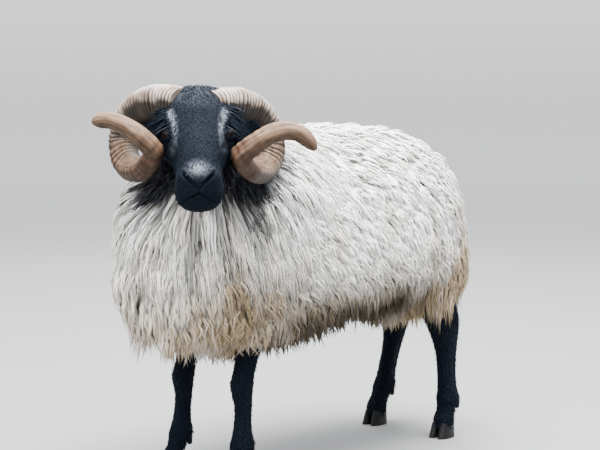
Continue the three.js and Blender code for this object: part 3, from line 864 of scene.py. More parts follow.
def sow(points, count, seed, weight=evenly):
    """Roots on a grid's quads, more where weight times area is more: place, normal and (t, a) of each."""
    draw, count = np.random.default_rng(seed), int(count * LESS)
    along, around = points.shape[0] - 1, points.shape[1]
    p = np.concatenate([points, points[:, :1]], 1)
    a, b, c, d = p[:-1, :-1], p[:-1, 1:], p[1:, :-1], p[1:, 1:]
    cross = np.cross(d - a, c - b)
    area = np.linalg.norm(cross, axis=-1) / 2
    share = np.cumsum((area * weight((a + b + c + d) / 4, unit(cross))).ravel())
    pick = (np.arange(count) + draw.random(count)) / count * share[-1]
    cell = np.minimum(np.searchsorted(share, pick), along * around - 1)
    i, j = cell // around, cell % around
    s, t = draw.random((2, count))
    place = ((1 - s)[:, None] * ((1 - t)[:, None] * a[i, j] + t[:, None] * b[i, j])
             + s[:, None] * ((1 - t)[:, None] * c[i, j] + t[:, None] * d[i, j]))
    normal = grid_normals(points)[np.minimum(i, along), j]
    return place, normal, np.stack([(i + s) / along, (j + t) / around], -1)


COMB_STEPS = 12
TUCK = 0.006


def comb(roots, normals, length, depth, flow, rest, seed):
    """Walks each staple from its root: along the flow, rising from depth to the fleece's surface, with its
    tip tucked in by TUCK. rest is the range in which staples come to lie outside that surface.

    Where the fleece faces down it hangs free. Returns the line of each staple and its outward directions.
    """
    draw = np.random.default_rng(seed)
    place, line, outs = roots, [roots], [normals]
    swing = draw.normal(0, 1, (len(roots), 3))
    rest = draw.uniform(*rest, len(roots))
    step = (length / COMB_STEPS)[:, None]
    for k in range(COMB_STEPS):
        walked = (k + 1) / COMB_STEPS
        normal = fleece_normal(place)
        wanted = flow(place, normal) + 0.08 * swing
        free = smooth(0.25, 0.75, -normal[:, 2:])
        along = unit(wanted - dot(wanted, normal) * normal)
        heading = unit(along * (1 - free) + unit(DOWN + 0.10 * swing) * free)
        rise = smooth(0, 0.62, walked)
        target = -depth * (1 - rise) + (rest - TUCK * smooth(0.65, 1, walked)) * rise
        gap = (target - fleece_depth(place + heading * step))[:, None]
        place = place + heading * step + normal * np.clip(gap, -0.7 * step, 0.7 * step) * (1 - free)
        line.append(place)
        outs.append(unit(normal * (1 - free) + free * unit(normals + 1e-3)))
    return np.stack(line, 1), np.stack(outs, 1)


def sample_line(values, s):
    """Values along each line at fractions s, by straight steps, running on past the end."""
    last = values.shape[1] - 1
    at = np.clip(s * last, 0, None)
    i = np.minimum(at.astype(int), last - 1)
    part = (at - i)[..., None]
    rows = np.arange(len(values))[:, None]
    return values[rows, i] * (1 - part) + values[rows, i + 1] * part


def strands(line, outs, each, rings, spread, curl, seed, close=0.75):
    """Opens every staple into several strands, set apart at the root and drawn together towards the tip.

    spread is the staple's half width and curl its (height, length) of wave, as numbers or by staple. Returns
    the strands' points, their across and outward directions, and which staple each belongs to.
    """
    draw = np.random.default_rng(seed)
    parent = np.repeat(np.arange(len(line)), each)
    many = len(parent)
    spans = np.linalg.norm(np.diff(line, axis=1), axis=-1).sum(1)
    half, high, long, span = [np.broadcast_to(value, len(line))[parent][:, None]
                              for value in (spread, *curl, spans)]
    s = np.linspace(0, 1, rings + 1) * draw.uniform(0.72, 1.06, (many, 1))
    place = sample_line(line[parent], s)
    out = unit(sample_line(outs[parent], s))
    ahead = unit(np.gradient(place, axis=1))
    across = unit(np.cross(ahead, out))
    out = np.cross(across, ahead)
    open_ = 1 - close * np.clip(s, 0, 1) ** 1.1
    x = draw.normal(0, 1, (many, 1)) * half * open_
    y = draw.uniform(-0.32, 0.25, (many, 1)) * half * open_
    start = (5 * drift(line[:, 0], 0.07, seed) + draw.normal(0, 0.5, len(line)))[parent][:, None]
    start = start + draw.normal(0, 0.18, (many, 1))
    wave = 2 * np.pi * s * span / long + start
    grow = np.clip(s * 2.2, 0, 1) * high
    stray = draw.normal(0, 1, (many, 1)) * 0.003 * s ** 2
    place = (place + across * (x + grow * np.sin(wave) + stray)[..., None]
             + out * (y + 0.6 * grow * np.cos(wave + 0.7))[..., None])
    return place, across, out, parent


def lock_faces(count, rings):
    """Triangles of count three-sided locks, each with a closed root and a pointed tip."""
    ring = np.arange(rings - 1)[:, None] * 3
    s = np.arange(3)[None]
    n = (s + 1) % 3
    a, b = ring + s, ring + n
    walls = np.stack([np.stack([a, b + 3, b], -1), np.stack([a, a + 3, b + 3], -1)]).reshape(-1, 3)
    top, tip = (rings - 1) * 3, rings * 3
    point = np.stack([top + n[0], top + s[0], 0 * s[0] + tip], -1)
    one = np.concatenate([walls, point, [[0, 1, 2]]])
    return (np.arange(count)[:, None, None] * (tip + 1) + one[None]).reshape(-1, 3)


# size of a lock's patch on the OFBake map, and the most triangles in one piece of coat
PATCH = 0.003
TRIANGLES_EACH = 190000


def build_locks(name, place, across, out, width, uv, tone, material, thick=0.5):
    """Closed locks, three-sided and tapering to a tip, in as many pieces as TRIANGLES_EACH needs.

    place is (locks, rings + 1, 3). width is the full width of each lock at its widest. tone holds markings
    for each point. OFBake lays each lock in a patch at its root's place on the unwrapped skin.
    """
    count, rings = place.shape[0], place.shape[1] - 1
    s = np.linspace(0, 1, rings + 1)[:-1]
    taper = (0.62 + 0.38 * np.sin(np.pi * np.clip(s * 1.35, 0, 1))) * (1 - s ** 2.2) ** 0.8
    half = (width[:, None] / 2 * taper)[..., None]
    p, a, o = place[:, :-1], across[:, :-1], out[:, :-1]
    corners = np.stack([p - a * half, p + a * half, p + o * half * 2 * thick], 2).reshape(count, rings * 3, 3)
    points = np.concatenate([corners, place[:, -1:]], 1)
    offset = np.array([[-0.5, 0], [0.5, 0], [0, 0.3]])
    patch = np.concatenate([(offset[None] + np.stack([0 * s, s], -1)[:, None]).reshape(-1, 2), [[0, 1]]]) * PATCH
    all_uv = np.clip(uv, PATCH, 1 - 2 * PATCH)[:, None] + patch[None]
    all_tone = np.concatenate([np.repeat(tone[:, :-1], 3, 1), tone[:, -1:]], 1)
    lane = np.tile([-1.0, 1.0, 0.0], rings)
    own = np.random.default_rng(count).uniform(0, 50, count)
    reach = np.repeat(s, 3)
    fibre = together(np.append(lane, 0.0)[None], np.append(reach, 1.0)[None], own[:, None])
    per_lock = 6 * (rings - 1) + 4
    pieces = []
    parts = max(1, int(np.ceil(count * per_lock / TRIANGLES_EACH)))
    for k, rows in enumerate(np.array_split(np.arange(count), parts)):
        label, some = f"{name}_{k + 1}" if parts > 1 else name, all_tone[rows].reshape(-1, 4)
        piece = make_mesh(label, points[rows].reshape(-1, 3) + SHIFT, lock_faces(len(rows), rings),
                          {"OFBake": all_uv[rows].reshape(-1, 2)},
                          {"Markings": some[:, :3], "Shade": some[:, 3], "Fibre": fibre[rows].reshape(-1, 3)})
        piece.data.materials.append(material)
        pieces.append(piece)
    return pieces


# ---------- finishes ----------

BLUE_BLACK = (0.0042, 0.0059, 0.0095, 1)
COOL = (0.5, 0.7, 1.0, 1)


def new_node(tree, kind, **settings):
    """Adds a node, its plain settings given by name."""
    node = tree.nodes.new(f"ShaderNode{kind}")
    for key, value in settings.items():
        setattr(node, key, value)
    return node


def feed(tree, slot, value):
    """Gives a slot a value, or links a socket to it."""
    if isinstance(value, bpy.types.NodeSocket):
        tree.links.new(value, slot)
    else:
        slot.default_value = value


def feed_all(tree, node, values):
    """Feeds a node's inputs by name or number and returns the node."""
    for key, value in values.items():
        feed(tree, node.inputs[key], value)
    return node


def mix_colour(tree, factor, a, b, blend="MIX"):
    """A mix of two colours, each given as a socket or a value."""
    node = new_node(tree, "Mix", data_type="RGBA", blend_type=blend)
    return feed_all(tree, node, {0: factor, 6: a, 7: b}).outputs[2]


def arithmetic(tree, operation, *values, clamp=False):
    """A sum worked on sockets or numbers."""
    node = new_node(tree, "Math", operation=operation, use_clamp=clamp)
    return feed_all(tree, node, dict(enumerate(values))).outputs[0]


def scaled(tree, value, by, add, clamp=True):
    """A value times a number plus a number, held between 0 and 1 if clamp is true."""
    return arithmetic(tree, "MULTIPLY_ADD", value, by, add, clamp=clamp)


def ramp(tree, value, low, high, bottom=0.0):
    """A value from low to high spread evenly from bottom to 1, and held at both ends."""
    values = {"Value": value, "From Min": low, "From Max": high, "To Min": bottom}
    return feed_all(tree, new_node(tree, "MapRange"), values).outputs[0]


def noise(tree, where, scale, detail, rough=0.5):
    """Soft noise read at a place."""
    values = {"Vector": where, "Scale": scale, "Detail": detail, "Roughness": rough}
    return feed_all(tree, new_node(tree, "TexNoise"), values).outputs[0]


def drawn_out(tree, vector, scales):
    """A vector multiplied part by part, so that a pattern read at it is drawn out."""
    return feed_all(tree, new_node(tree, "VectorMath", operation="MULTIPLY"), {0: vector, 1: scales}).outputs[0]


def object_place(tree):
    """The place on the piece, in its own coordinates."""
    return new_node(tree, "TexCoord").outputs["Object"]


def attribute(tree, name, output="Vector"):
    """A named attribute of the piece."""
    return new_node(tree, "Attribute", attribute_name=name).outputs[output]


def split(tree, vector):
    """The three parts of a vector."""
    return feed_all(tree, new_node(tree, "SeparateXYZ"), {0: vector}).outputs


def new_group(name, inputs, outputs):
    """An empty shader node group with named sockets, given as (name, kind, value)."""
    tree = bpy.data.node_groups.new(name, "ShaderNodeTree")
    for label, kind, value in inputs:
        socket = tree.interface.new_socket(name=label, in_out="INPUT", socket_type=f"NodeSocket{kind}")
        if value is not None:
            socket.default_value = value
    for label, kind in outputs:
        tree.interface.new_socket(name=label, in_out="OUTPUT", socket_type=f"NodeSocket{kind}")
    return tree, tree.nodes.new("NodeGroupInput").outputs, tree.nodes.new("NodeGroupOutput")


def hair_colour_group():
    """Markings to colour: cream to tan, then to black or pale by the black part, lit by Shade, mottled a little."""
    tree, given, result = new_group("Hair colour", [
        ("Markings", "Vector", None), ("Shade", "Float", 1.0), ("Cream", "Color", (0.90, 0.89, 0.855, 1)),
        ("Tan", "Color", (0.40, 0.29, 0.165, 1)), ("Black", "Color", BLUE_BLACK),
        ("Pale", "Color", (0.40, 0.43, 0.49, 1)), ("Mottle", "Float", 0.25),
    ], [("Colour", "Color")])
    black, tan, pale = split(tree, given["Markings"])
    wool = mix_colour(tree, tan, given["Cream"], given["Tan"])
    hair = mix_colour(tree, pale, given["Black"], given["Pale"])
    colour = mix_colour(tree, black, wool, hair)
    mottled = ramp(tree, noise(tree, object_place(tree), 60.0, 3.0), 0.3, 0.7,
                   arithmetic(tree, "SUBTRACT", 1.0, given["Mottle"]))
    lit = arithmetic(tree, "MULTIPLY", given["Shade"], mottled)
    grey = feed_all(tree, new_node(tree, "CombineColor"), {0: lit, 1: lit, 2: lit}).outputs[0]
    feed_all(tree, result, {"Colour": mix_colour(tree, 1.0, colour, grey, "MULTIPLY")})
    return tree


def lying_hair_group():
    """Fine relief of hair lying along a direction: noise on coordinates already drawn out along the hair."""
    tree, given, result = new_group("Lying hair", [("Lie", "Vector", None), ("Fineness", "Float", 1.0)],
                                    [("Height", "Float"), ("Gloss", "Float")])
    fine = noise(tree, given["Lie"], given["Fineness"], 4.0, 0.6)
    broad = noise(tree, given["Lie"], 0.22, 2.0)
    height = arithmetic(tree, "ADD", fine, arithmetic(tree, "MULTIPLY", broad, 0.6))
    feed_all(tree, result, {"Height": height, "Gloss": broad})
    return tree


HAIR_COLOUR, LYING_HAIR = hair_colour_group(), lying_hair_group()


def use_group(tree, group, **values):
    """Places a node group in a material with its own values."""
    return feed_all(tree, new_node(tree, "Group", node_tree=group), values).outputs


def new_material(name, **settings):
    """A material with one Principled shader, its plain values set on its own sockets."""
    material = bpy.data.materials.new(name)
    material.use_nodes = True
    tree = material.node_tree
    shader = tree.nodes["Principled BSDF"]
    feed_all(tree, shader, {key.replace("_", " "): value for key, value in settings.items()})
    return material, tree, shader


def bump(tree, height, strength, distance):
    """A height as a Bump node's normal."""
    values = {"Strength": strength, "Distance": distance, "Height": height}
    return feed_all(tree, new_node(tree, "Bump"), values).outputs[0]


def coat_finish(name, black, sheen, mottle, rough, gloss, tint=(1, 1, 1, 1)):
    """Colour of a lock from its markings and shade, lined along its fibres."""
    material, tree, shader = new_material(name, Roughness=rough, Sheen_Weight=sheen, Sheen_Roughness=0.45,
                                          Sheen_Tint=tint, Specular_IOR_Level=gloss, Specular_Tint=tint)
    lines = noise(tree, drawn_out(tree, attribute(tree, "Fibre"), (5.0, 2.5, 1.0)), 1.0, 2.0)
    lined = arithmetic(tree, "MULTIPLY", attribute(tree, "Shade", "Fac"), scaled(tree, lines, 0.5, 0.78, False))
    colour = use_group(tree, HAIR_COLOUR, Markings=attribute(tree, "Markings"), Shade=lined, Black=black,
                       Mottle=mottle)
    feed_all(tree, shader, {"Base Color": colour[0], "Normal": bump(tree, lines, 0.5, 0.0006)})
    return material


def hide_finish():
    """Short hair lying flat: blue-black with a soft sheen on head and legs, wool's own colour under the fleece."""
    material, tree, shader = new_material("Black hide", Roughness=0.6, Sheen_Weight=0.01, Sheen_Roughness=0.45,
                                          Sheen_Tint=COOL, Specular_IOR_Level=0.03,
                                          Specular_Tint=(0.65, 0.8, 1.0, 1))
    hair = use_group(tree, LYING_HAIR, Lie=attribute(tree, "Lie"), Fineness=1.0)
    colour = use_group(tree, HAIR_COLOUR, Markings=attribute(tree, "Markings"), Mottle=0.2,
                       Shade=scaled(tree, hair["Gloss"], 0.8, 0.40, False), Pale=(0.28, 0.30, 0.345, 1))
    feed_all(tree, shader, {"Base Color": colour[0], "Normal": bump(tree, hair["Height"], 0.55, 0.0012)})
    return material


def horn_finish():
    """Cream-tan horn: darker in the grooves, red-brown stains on the coil's front, painted shade where the
    root's arc and the coil face down.
    """
    material, tree, shader = new_material("Horn", Specular_IOR_Level=0.10)
    growth = attribute(tree, "Growth")
    reach, _, groove = split(tree, growth)
    stained, shade_and_dirt, grey = split(tree, attribute(tree, "Wear_and_shade"))
    patches = noise(tree, object_place(tree), 26.0, 4.0)
    grain = noise(tree, drawn_out(tree, growth, (520.0, 9.0, 0.0)), 1.0, 4.0, 0.65)
    streaks = noise(tree, drawn_out(tree, growth, (26.0, 22.0, 0.0)), 1.0, 4.0, 0.6)
    young = mix_colour(tree, scaled(tree, patches, 3.0, -1.0), (0.17, 0.118, 0.088, 1), (0.62, 0.53, 0.475, 1))
    old = mix_colour(tree, scaled(tree, streaks, 3.0, -1.0), (0.205, 0.125, 0.077, 1), (0.036, 0.019, 0.012, 1))
    colour = mix_colour(tree, ramp(tree, reach, 0.10, 0.24), young, old)
    stain = arithmetic(tree, "MULTIPLY", stained, scaled(tree, patches, 4.0, -1.5))
    for amount, over in (
            (arithmetic(tree, "MULTIPLY", scaled(tree, grain, 3.2, -1.35), 0.62), (0.13, 0.075, 0.045, 1)),
            (grey, (0.17, 0.14, 0.12, 1)), (stain, (0.060, 0.018, 0.006, 1)),
            # painted shade: near black where the horn faces down
            (arithmetic(tree, "MULTIPLY", shade_and_dirt, 0.95), (0.014, 0.012, 0.010, 1)),
            (arithmetic(tree, "MULTIPLY", groove, 0.95), (0.014, 0.010, 0.008, 1))):
        colour = mix_colour(tree, amount, colour, over)
    feed_all(tree, shader, {"Base Color": colour, "Roughness": scaled(tree, grain, 0.25, 0.42, False),
                            "Normal": bump(tree, grain, 0.5, 0.0008)})
    return material


def hoof_finish():
    """Dark grey horn, a little paler low on the toe, with growth rings round it."""
    material, tree, shader = new_material("Hoof", Roughness=0.36, Specular_IOR_Level=0.14)
    height, _, ahead = split(tree, attribute(tree, "Wall"))
    mottle = noise(tree, object_place(tree), 90.0, 4.0)
    toe = arithmetic(tree, "MULTIPLY", arithmetic(tree, "SUBTRACT", 1.0, height), ahead)
    pale = arithmetic(tree, "MULTIPLY", toe, mottle)
    rings = arithmetic(tree, "SINE", arithmetic(tree, "MULTIPLY", height, 95.0))
    feed_all(tree, shader, {
        "Base Color": mix_colour(tree, pale, (0.004, 0.004, 0.0045, 1), (0.013, 0.012, 0.011, 1)),
        "Normal": bump(tree, scaled(tree, mottle, 1.5, rings, False), 0.35, 0.0004)})
    return material


def eye_finish():
    """A near-black brown iris streaked outwards round a level slit pupil, dark at its rim, under a wet coat."""
    material, tree, shader = new_material("Eye", Roughness=0.3, Coat_Weight=0.07, Coat_Roughness=0.02, IOR=1.38,
                                          Specular_IOR_Level=0.02)
    x, y, _ = split(tree, attribute(tree, "Gaze"))
    reach = arithmetic(tree, "SQRT", arithmetic(tree, "ADD", *[arithmetic(tree, "MULTIPLY", v, v) for v in (x, y)]))
    slit = arithmetic(tree, "ADD", *[
        arithmetic(tree, "POWER", arithmetic(tree, "ABSOLUTE", arithmetic(tree, "DIVIDE", v, half)), 3.0)
        for v, half in ((x, 0.42), (y, 0.15))])
    flat = feed_all(tree, new_node(tree, "CombineXYZ"), {0: x, 1: y}).outputs[0]
    spokes = feed_all(tree, new_node(tree, "VectorMath", operation="NORMALIZE"), {0: flat}).outputs[0]
    colour = mix_colour(tree, noise(tree, spokes, 14.0, 3.0), (0.004, 0.003, 0.0025, 1), (0.009, 0.0055, 0.004, 1))
    colour = mix_colour(tree, scaled(tree, reach, 9.0, -5.6), colour, (0.004, 0.003, 0.003, 1))
    colour = mix_colour(tree, scaled(tree, slit, -4.0, 4.5), colour, (0.002, 0.002, 0.003, 1))
    feed_all(tree, shader, {"Base Color": colour})
    return material


WOOL = coat_finish("Fleece", (0.006, 0.007, 0.010, 1), 0.08, 0.12, 0.75, 0.10)
SHORT_FUR = coat_finish("Short black hair", BLUE_BLACK, 0.02, 0.12, 0.55, 0.045, COOL)

skin.data.materials.clear()
for pieces, finish in (([skin], hide_finish()), (horns, horn_finish()), (hooves, hoof_finish()),
                       (eyes, eye_finish())):
    for piece in pieces:
        piece.data.materials.append(finish)
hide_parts("trunk", "neck", "tail", "head", "ear_left", "ear_right", *[f"leg_{word}" for word in FEET])


# ---------- coat: fleece ----------

def dirt_and_shade(p):
    """How much darker than clean wool a place is, partly dirt and partly painted shade: along the hem, most of all
    under the belly, and on the left side at the elbow and before the shoulder."""
    x, y, z = np.moveaxis(p, -1, 0)
    z = z + 0.02 * drift(p, 0.07, 15)
    body = smooth(-0.36, -0.22, y) * (1 - smooth(0.12, 0.24, y))
    low = 0.25 * (1 - smooth(0.40, 0.54, z)) * smooth(-0.50, -0.20, y) * (1 - smooth(0.20, 0.32, y))
    belly = 0.84 * (1 - smooth(0.355, 0.435, z)) * body
    p = np.stack([x, y, z], -1)
    return 1 - (1 - low) * (1 - belly) * (1 - 0.45 * spot(p, ELBOW_DIRT_AND_SHADE)) * (1 - 0.32 * spot(p, SHOULDER_DIRT_AND_SHADE))


def radiating(p):
    """Slow wandering drawn out along the neck, so that its bands run back and down from the head."""
    along, across, above, _ = neck_place(p)
    angle = np.arctan2(across, above)
    return drift(together(0.15 * np.cos(angle), 0.15 * np.sin(angle), 0.06 * along), 0.030, 17)


def tone_of(root, place, draw, parent, rings):
    """Markings and shade for each point of each lock: black by the root, tan by where the lock lies; the shade is
    painted, darker towards the root and low on the body.

    Dark streaks run out from the head among the pale locks, and the chest's staples differ more than
    the rest.
    """
    many, end = len(parent), place[:, rings * 2 // 3]
    at_root, lying = markings(root)[parent], markings(end)
    head_way = np.linalg.norm(end - from_head(np.array([20, -60, 0]) * MM), axis=-1)
    near = np.exp(-((head_way / 0.25) ** 4))
    clump = draw.random(len(root))[parent]
    streak = near * smooth(0.15, 0.60, radiating(end) + 0.25 * draw.uniform(-1, 1, many))
    black = np.maximum(at_root[:, 0], streak * draw.uniform(0.5, 0.95, many))
    pale = np.where(black > 0.5, at_root[:, 2] + 0.02 * draw.random(many), 0)
    tan = np.clip(lying[:, 1] * draw.uniform(0.75, 1.1, many) + 0.16 * (clump - 0.4), 0, 1)
    s = np.linspace(0, 1, rings + 1)[None]
    front = 1 - smooth(-0.36, -0.16, place[:, 0, 1])
    own = 0.6 * draw.random(len(root))[parent] + 0.8 * drift(root, 0.030, 9)[parent]
    shade = (0.95 + (0.05 + 0.13 * front) * own + 0.05 * draw.uniform(-1, 1, many))[:, None]
    # painted shade, partly dirt: the wool darkened low on the body, under the belly, at the elbow and before the
    # shoulder
    shade_and_dirt = dirt_and_shade(place)
    # painted shade: each lock darker towards its root
    shade = shade * (0.90 + 0.10 * smooth(0.0, 0.6, s)) * (1 - shade_and_dirt)
    tone = np.stack([black, tan, pale], -1)[:, None] + 0 * s[..., None]
    soiled = 0.6 * shade_and_dirt * (1 - smooth(0.40, 0.48, place[..., 2]))
    tone[..., 1] = np.clip(tone[..., 1] * (0.8 + 0.35 * s) + soiled, 0, 1)
    return np.concatenate([tone, shade[..., None]], -1)


def grow_fleece(name, root, normal, uv, length, spread, curl, width, each, rings, flow, seed, close=0.75,
                rest=(-0.006, 0.003), thick=0.5):
    """Staples combed from their roots, opened into strands and built as locks riding on the body."""
    draw = np.random.default_rng(seed)
    depth = np.clip(-fleece_depth(root), 0.004, 0.11)
    line, outs = comb(root, normal, length, depth, flow, rest, seed + 1)
    place, across, out, parent = strands(line, outs, each, rings, spread, curl, seed + 2, close)
    tone = tone_of(root, place, draw, parent, rings)
    wide = width * draw.uniform(0.7, 1.3, len(parent))
    return build_locks(name, place, across, out, wide, uv[parent], tone, WOOL, thick)


def trunk_flow(p, normal):
    """Down the sides, swept back at the shoulder and less so behind; along the spine it lies straight back."""
    sweep = through(np.array([[-0.60, 0.0], [-0.44, 0.15], [-0.26, 0.85], [0.0, 0.75], [0.22, 0.40],
                              [0.40, 0.12], [0.60, 0.0]]), p[:, 1])[0]
    level, side = np.clip(normal[:, 2], 0, 1), np.tanh(p[:, 0] / 0.05)
    part = 0.9 * side * level
    sweep = sweep + 0.9 * (1 - side ** 2) * level
    return np.stack([part, sweep, -1 + 0 * part], -1)


def neck_flow(p, normal):
    """Back from the head along the neck, and down."""
    places, aheads = NECK_TABLE[:2]
    step = np.argmin(((p[:, None] - places[None]) ** 2).sum(-1), 1)
    return -0.75 * aheads[step] + DOWN


coat = []


def sow_trunk(count, seed):
    """Roots on the trunk's skin, more on the back and fewer underneath, none where the neck and head cover it."""
    root, normal, uv = sow(trunk_skin(), count, seed, lambda p, n: (
        1 - 0.45 * smooth(0.3, 0.8, -n[..., 2]) + 0.45 * smooth(0.3, 0.8, n[..., 2])))
    return keep((neck_gauge(root) > 0.72) & (head_gauge(root) > 1.1), root, normal, uv)


def sow_neck(count, seed):
    """Roots on the neck's skin, leaving out what the trunk and head cover."""
    root, normal, uv = sow(neck_form(*grid(*GRID["neck_roots"]), NECK_INSET), count, seed)
    return keep((trunk_gauge(root) > 0.78) & (head_gauge(root) > 1.02), root, normal, uv)


def body_length(root, normal, draw):
    """Staples are shortest on the back, longest low on the sides, and short again under the belly."""
    high, under = smooth(0.50, 0.74, root[:, 2]), smooth(0.2, 0.8, -normal[:, 2])
    low = 1 - smooth(0.42, 0.56, root[:, 2])
    fold = bell((root[:, 1] - 0.045) / 0.070) * low
    thigh = bell((root[:, 1] - 0.22) / 0.070) * low * (1 - under)
    clumps = 1 + 0.20 * drift(root, 0.055, 7)
    return ((0.150 - 0.050 * high) * (1 - 0.42 * under) * (1 - 0.72 * fold) * (1 + 0.30 * thigh) * clumps
            * draw.uniform(0.88, 1.12, len(root)))


def neck_length(root, draw):
    """Long on the chest, shorter towards the head, where it is black."""
    ruff = 1 - smooth(1.1, 2.2, head_gauge(root))
    black = markings(root)[:, 0]
    clumps = 1 + 0.16 * drift(root, 0.050, 8)
    return (0.200 - 0.080 * ruff) * (1 - 0.50 * black) * clumps * draw.uniform(0.88, 1.12, len(root))


# an under layer of broad flat locks that closes the fleece
for name, sown, flow, width in (("under_body", sow_trunk(4700, 301), trunk_flow, 0.030),
                                ("under_neck", sow_neck(3000, 302), neck_flow, 0.016)):
    draw = np.random.default_rng(303)
    length = body_length(*sown[:2], draw) if flow is trunk_flow else neck_length(sown[0], draw)
    coat += grow_fleece(f"fleece_{name}", *sown, length, 0.0005, (0.0015, 0.06), width, 1, 4, flow, 304,
                        rest=(-0.005, -0.001), thick=0.12)

# trunk: smooth above, more crimped towards the hem
root, normal, uv = sow_trunk(4000, 101)
length = body_length(root, normal, np.random.default_rng(11))
high = smooth(0.50, 0.74, root[:, 2])
curly = np.clip(markings(root)[:, 1] * 1.5 + 0.30 * (1 - high), 0.05, 1)
curls = (high <= 0.5) & (curly > 0.55)
# name, which roots, strands in each staple, rings, how far the tips close, half width, width of a strand
for name, part, each, rings, close, spread, width in (
        ("back", high > 0.5, 8, 4, 0.60, 0.0095, 0.0080),
        ("flank", (high <= 0.5) & ~curls, 8, 5, 0.65, 0.0085, 0.0076),
        ("curls", curls, 6, 6, 0.85, 0.0085, 0.0080)):
    *some, wavy = keep(part, root, normal, uv, length, curly)
    coat += grow_fleece(f"fleece_{name}", *some, spread, (0.0068 * wavy, 0.062 - 0.016 * wavy), width, each,
                        rings, trunk_flow, 200, close, thick=0.18)

# a few staples that stand away from the croup and the withers
likely = bell((root[:, 1] - 0.34) / 0.05) + 0.6 * bell((root[:, 1] + 0.22) / 0.05)
chosen = np.random.default_rng(14).random(len(root)) < 0.5 * likely
some = keep((high > 0.9) & (np.abs(root[:, 0]) < 0.09) & chosen, root, normal, uv, 1.15 * length)
coat += grow_fleece("fleece_wisps", *some, 0.005, (0.002, 0.06), 0.0034, 5, 5, trunk_flow, 220, 0.3,
                    rest=(0.002, 0.008))

# neck and chest
sown = sow_neck(1500, 102)
coat += grow_fleece("fleece_chest", *sown, neck_length(sown[0], np.random.default_rng(12)), 0.0080,
                    (0.0016, 0.080), 0.0066, 8, 6, neck_flow, 210, 0.6, thick=0.2)

# tail
root, normal, uv = sow(tail_skin(), 260, 103)
draw = np.random.default_rng(13)
line = np.stack([root + normal * 0.012 * s ** 0.6 + (DOWN + [0, 0.08, 0]) * 0.085 * s
                 for s in np.linspace(0, 1, 9)], 1)
place, across, out, parent = strands(line, np.repeat(normal[:, None], 9, 1), 8, 6, 0.006, (0.003, 0.04), 104)
coat += build_locks("fleece_tail", place, across, out, 0.0042 * draw.uniform(0.7, 1.3, len(parent)), uv[parent],
                    tone_of(root, place, draw, parent, 6), WOOL)


# ---------- coat: short black hair ----------

# how deep a tuft's root is sunk, and how high the tuft rides at once over the skin
HAIR_SUNK, HAIR_RIDE = 0.0004, 0.0009
SHORTENED = (0.6, 0.35)
HORN_STEPS = np.linspace(0, 0.5, 90)
HORN_MARKS = np.concatenate([horn_line(form, HORN_STEPS) for form in HORNS.values()])
HORN_CLEAR = np.tile(horn_half(HORN_STEPS), 2) * 0.85 - 0.001


def clear_of_horns(place):
    """True for each tuft that has no point inside a horn."""
    away = np.linalg.norm(place[:, 1:, None] - HORN_MARKS, axis=-1) - HORN_CLEAR
    return away.min((1, 2)) > 0


def lay_fur(name, sown, length, width, flow, lift, rings, seed, droop=0.0):
    """Small tufts lying along the skin, their tips lifted by a part of their length and drooping by another.

    Pale ones are drawn by chance. Tufts that would run into a horn are shortened, or left out if that is
    not enough.
    """
    root, normal, uv = sown
    draw = np.random.default_rng(seed)
    many = len(root)
    wanted = flow + 0.10 * draw.normal(0, 1, (many, 3))
    along = unit(wanted - dot(wanted, normal) * normal)
    across = np.cross(along, normal)
    length = length * draw.uniform(0.7, 1.25, many)
    lift = lift * draw.uniform(0.5, 1.4, many)
    s = np.linspace(0, 1, rings + 1)[None, :, None]
    reach = length[:, None, None] * s
    rise = (length * lift)[:, None, None] * s ** 1.3 + HAIR_RIDE * np.sin(s * np.pi / 2)
    bend = (draw.normal(0, 0.10, many) * length)[:, None, None] * s ** 2
    place = ((root - HAIR_SUNK * normal)[:, None] + along[:, None] * reach + normal[:, None] * rise
             + across[:, None] * bend)
    mark = markings(root)
    chosen = draw.random(many) < smooth(0.1, 0.65, mark[:, 2])
    mark[:, 2] = np.where(chosen, mark[:, 2] * draw.uniform(0.45, 1.1, many), np.minimum(mark[:, 2], 0.05))
    # painted shade: each tuft darker towards its root, lighter at its tip
    shade = draw.uniform(0.9, 1.12, many)[:, None] * (0.9 + 0.2 * s[:, :, 0])
    tone = np.concatenate([np.repeat(mark[:, None], rings + 1, 1), shade[..., None]], -1)
    place = place + DOWN * droop * length[:, None, None] * s ** 2
    turned = np.repeat(across[:, None], rings + 1, 1), np.repeat(normal[:, None], rings + 1, 1)
    free = clear_of_horns(place)
    for part in SHORTENED:
        shorter = place[:, :1] + (place - place[:, :1]) * part
        place = np.where(free[:, None, None], place, shorter)
        free = clear_of_horns(place)
    width = width * draw.uniform(0.7, 1.3, many)
    rows = keep(free, place, *turned, width, uv, tone)
    return build_locks(name, *rows, SHORT_FUR, 0.28)


def head_flow(uvw):
    """Down the face, outwards from the middle, and back under the jaw."""
    u, v, w = np.moveaxis(uvw, -1, 0)
    below = 1 - smooth(-0.050, 0.0, v)
    local = np.stack([1 - 1.3 * below, -0.5 - 0.6 * below, np.tanh(w / 0.02) * 0.5 * (1 - below)], -1)
    return local @ HEAD_AXES


def head_density(p, normal):
    """Few tufts on the flat front of the face, whose hair lies close, and more in the pale marks."""
    u, v, w = np.moveaxis(to_head(p), -1, 0)
    front = smooth(-0.05, -0.02, u) * smooth(0.0, 0.02, v) * (1 - smooth(0.042, 0.054, np.abs(w)))
    return 1 - 0.65 * front + 4 * np.maximum(0, markings(p)[..., 2] - 0.05)


